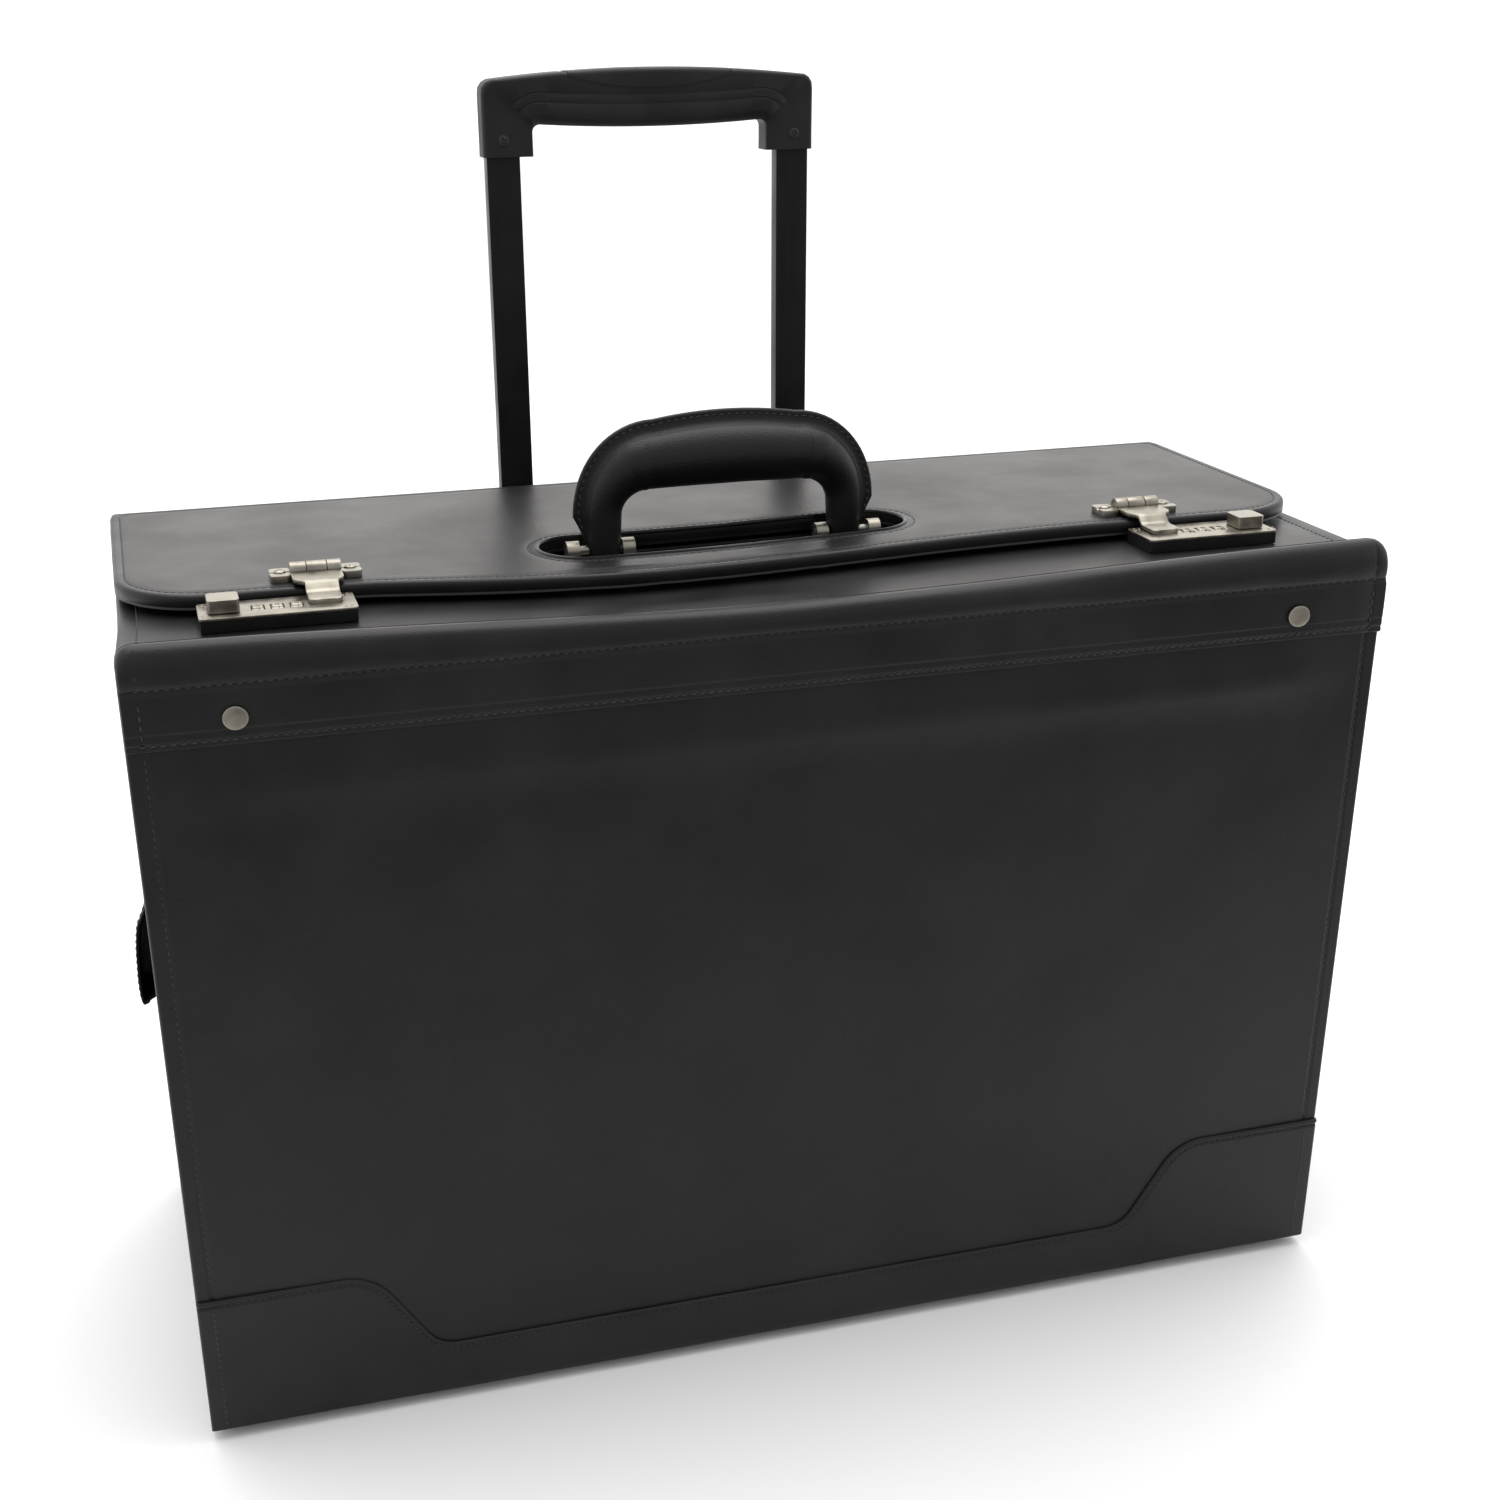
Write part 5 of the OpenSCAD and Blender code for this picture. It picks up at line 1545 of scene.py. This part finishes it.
def gripRing(inner, outer):
    s = gripShape
    a, b = Vector(inner), Vector(outer)
    along = (b - a).normalized()
    tall = (b - a).length
    bar = unit((a.y - s["legFoot"] - 9) / 9) * unit((b.x + s["half"]) / 9 + 0.35)
    bar = bar * bar * (3 - 2 * bar)
    deep = s["legHalf"] + (s["barHalf"] - s["legHalf"]) * bar
    cut = 0.8 + (s["chamfer"] - 0.8) * bar
    step = min(3.4 * bar + 0.6, deep - 2)
    inLens = lensDrop(b.x) > 0.3
    hole = s["pocket"] if inLens else 0.0
    lens = deep - s["wall"] if inLens else 1.0
    r = 2.4 - 1.8 * min(1.0, lensDrop(b.x) / 2.5)
    side = [(0, 0), (0, deep - step - 0.5), (0.3, deep - step), (cut * 0.5, deep - step * 0.5),
            (cut - 0.3, deep - 0.3), (cut + 0.3, deep)]
    for line in s["mouldLines"]:
        side += [(line - 0.5, deep), (line - 0.2, deep - 0.28 * bar), (line + 0.2, deep - 0.28 * bar),
                 (line + 0.5, deep)]
    side += [(tall - r + r * sin(pi / 2 * k / 6), deep - r + r * cos(pi / 2 * k / 6)) for k in range(7)]
    side += [(tall, (deep - r + lens) / 2), (tall, lens + 0.12), (tall - 0.12, lens), (tall - hole, lens)]
    points = [(u, -v) for u, v in side] + [(tall - hole, 0)] + [(u, v) for u, v in reversed(side[1:])]
    return [(middleX + a.x + along.x * u, s["middleY"] + v, a.y + along.y * u) for u, v in points]


def makeTrolleyGrip():
    s = gripShape
    half = gripStations()
    rings = [gripRing(i, o) for i, o in half]
    rings += [[(caseWide - x, y, z) for x, y, z in ring] for ring in reversed(rings[:-1])]
    bm = bmesh.new()
    loft(bm, rings)
    addPiece("trolleyGrip", bm, gripPlastic, "trolley_inner",
             ("grip_front_shell", "grip_rear_shell"), smoothAngle=30)
    rings = []
    for x in stops(-s["lensHalf"] + 1.8, s["lensHalf"] - 1.8, 2.6):
        wide = s["barHalf"] - s["wall"] - 0.35
        top = gripTop(x)
        low = top - lensDrop(x) - 1.6
        soft = min(2.6, (top - low) * 0.8)
        ring = [(-wide, low), (-wide, top - soft)]
        ring += [(-wide + soft * (1 - cos(a)), top - soft * (1 - sin(a)))
                 for a in (0.3, 0.6, 0.9, 1.2, 1.5)] + [(0, top + 0.1)]
        ring += [(-y, z) for y, z in reversed(ring[:-1])]
        rings.append([(middleX + x, s["middleY"] + y, z) for y, z in ring])
    bm = bmesh.new()
    loft(bm, rings)
    addPiece("gripButton", bm, gripPlastic, frame["nodes"]["grip_button"]["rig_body"],
             ("grip_button",), smoothAngle=30)


trolleyScrews = {"across": (-45, -20, 20, 45), "heights": (314, 51), "radius": 4, "high": 1.8,
                 "turns": (0.3, 1.1, 0.7, 1.9, 0.2, 2.6, 1.5, 0.9),
                 "gripAcross": ((-73.5, 0.5), (73.5, 1.2)), "gripZ": 534.6, "gripRadius": 2.6,
                 "gripHigh": 0.7}


def makeTrolleyScrews():
    s = trolleyScrews
    rear = caseSpan("bracket_screws")[1].y - s["high"]
    bm = bmesh.new()
    spots = [(x, z) for x in s["across"] for z in s["heights"]]
    for (x, z), turn in zip(spots, s["turns"]):
        screwHead(bm, (middleX + x, rear, z), "y", s["radius"], s["high"], turn, True)
    addPiece("bracketScrews", bm, zincSteel, "case", ("bracket_screws",), smoothAngle=30)
    front = gripShape["middleY"] - gripShape["legHalf"]
    bm = bmesh.new()
    for x, turn in s["gripAcross"]:
        spot = (middleX + x, front - 0.1, s["gripZ"])
        screwHead(bm, spot, "-y", s["gripRadius"], s["gripHigh"], turn, True)
    addPiece("gripScrews", bm, blackScrew, "trolley_inner", ("grip_screws",), smoothAngle=30)


makeTrolleyGrip()
makeTrolleyScrews()
print("trolley made")


# floor colours: pale behind the case, darker toward the front as painted shade for a dim room in front
studio = {"camera": (-0.25678, -0.90649, 0.59817), "yaw": 0.2728, "pitch": 0.3803, "roll": -0.0105,
          "lens": 48.763, "shiftX": 0.03328, "shiftY": 0.04677, "floorHalf": 9.0,
          "floorPale": (0.94, 0.94, 0.94), "floorPaintedShade": (0.28, 0.28, 0.28), "floorShadeFade": (-0.85, -0.26),
          "roomFade": (-0.75, -0.1), "roomDim": (0.52, 0.52, 0.53), "roomBright": 1.3}

# soft lights: where they are, where they point, their size, power and colour
lamps = {
    "overhead": ((0.1, 0.5, 2.2), (0, 0.1, 0.2), (2.2, 1.8), 30, (1, 1, 1)),
    "backSheen": ((0.75, 2.6, 1.35), (0, 0, 0.36), (2.6, 1.3), 6, (1.0, 0.94, 0.86)),
}


def softBox(name, place, target, size, power, colour):
    lamp = bpy.data.lights.new(name, "AREA")
    lamp.shape = "RECTANGLE"
    lamp.size, lamp.size_y = size
    lamp.energy = power
    lamp.color = colour
    piece = bpy.data.objects.new(name, lamp)
    piece.location = place
    piece.rotation_euler = (Vector(target) - Vector(place)).to_track_quat("-Z", "Y").to_euler()
    bpy.context.scene.collection.objects.link(piece)
    piece.visible_camera = False


def fade(holder, source, span):
    # 0 to 1 from front to back, over a span of Y
    nodes, links = holder.node_tree.nodes, holder.node_tree.links
    coords = nodes.new("ShaderNodeTexCoord")
    split = nodes.new("ShaderNodeSeparateXYZ")
    links.new(coords.outputs[source], split.inputs["Vector"])
    return ranged(holder, split.outputs["Y"], 0, 1, *span)


def makeStudio():
    scene = bpy.context.scene
    world = bpy.data.worlds.new("paleRoom")
    world.use_nodes = True
    # white behind the case, dimmer in front of it
    share = fade(world, "Generated", studio["roomFade"])
    backdrop = world.node_tree.nodes["Background"]
    backdrop.inputs["Strength"].default_value = studio["roomBright"]
    feed(world, tinted(world, share, studio["roomDim"], (1, 1, 1), 0, 1), backdrop.inputs["Color"])
    scene.world = world
    floorMaterial, shader, coords = finish("paleFloor", studio["floorPale"], 0.7, specular=0.2)
    # the floor's colour darkens toward the front: painted shade standing in for a dim room in front of the
    # case, which the leather reflects
    share = fade(floorMaterial, "Object", studio["floorShadeFade"])
    floorWithPaintedShade = tinted(floorMaterial, share, studio["floorPaintedShade"], studio["floorPale"], 0, 1)
    feed(floorMaterial, floorWithPaintedShade, shader.inputs["Base Color"])
    bm = bmesh.new()
    bmesh.ops.create_grid(bm, x_segments=2, y_segments=2, size=studio["floorHalf"])
    floor = toObject("paleFloor", bm, floorMaterial)
    for name, setting in lamps.items():
        softBox(name, *setting)
    s = studio
    ahead = Vector((sin(s["yaw"]) * cos(s["pitch"]), cos(s["yaw"]) * cos(s["pitch"]), -sin(s["pitch"])))
    right = ahead.cross(Vector((0, 0, 1))).normalized()
    up = right.cross(ahead)
    tilted = right * cos(s["roll"]) + up * sin(s["roll"])
    top = up * cos(s["roll"]) - right * sin(s["roll"])
    lens = bpy.data.cameras.new("camera")
    lens.lens, lens.sensor_width = s["lens"], 36
    lens.shift_x, lens.shift_y = s["shiftX"], s["shiftY"]
    camera = bpy.data.objects.new("camera", lens)
    turn = Matrix((tilted, top, -ahead)).transposed().to_4x4()
    camera.matrix_world = Matrix.Translation(s["camera"]) @ turn
    scene.collection.objects.link(camera)
    scene.camera = camera
    scene.view_settings.view_transform = "Standard"


makeStudio()
print("studio set")
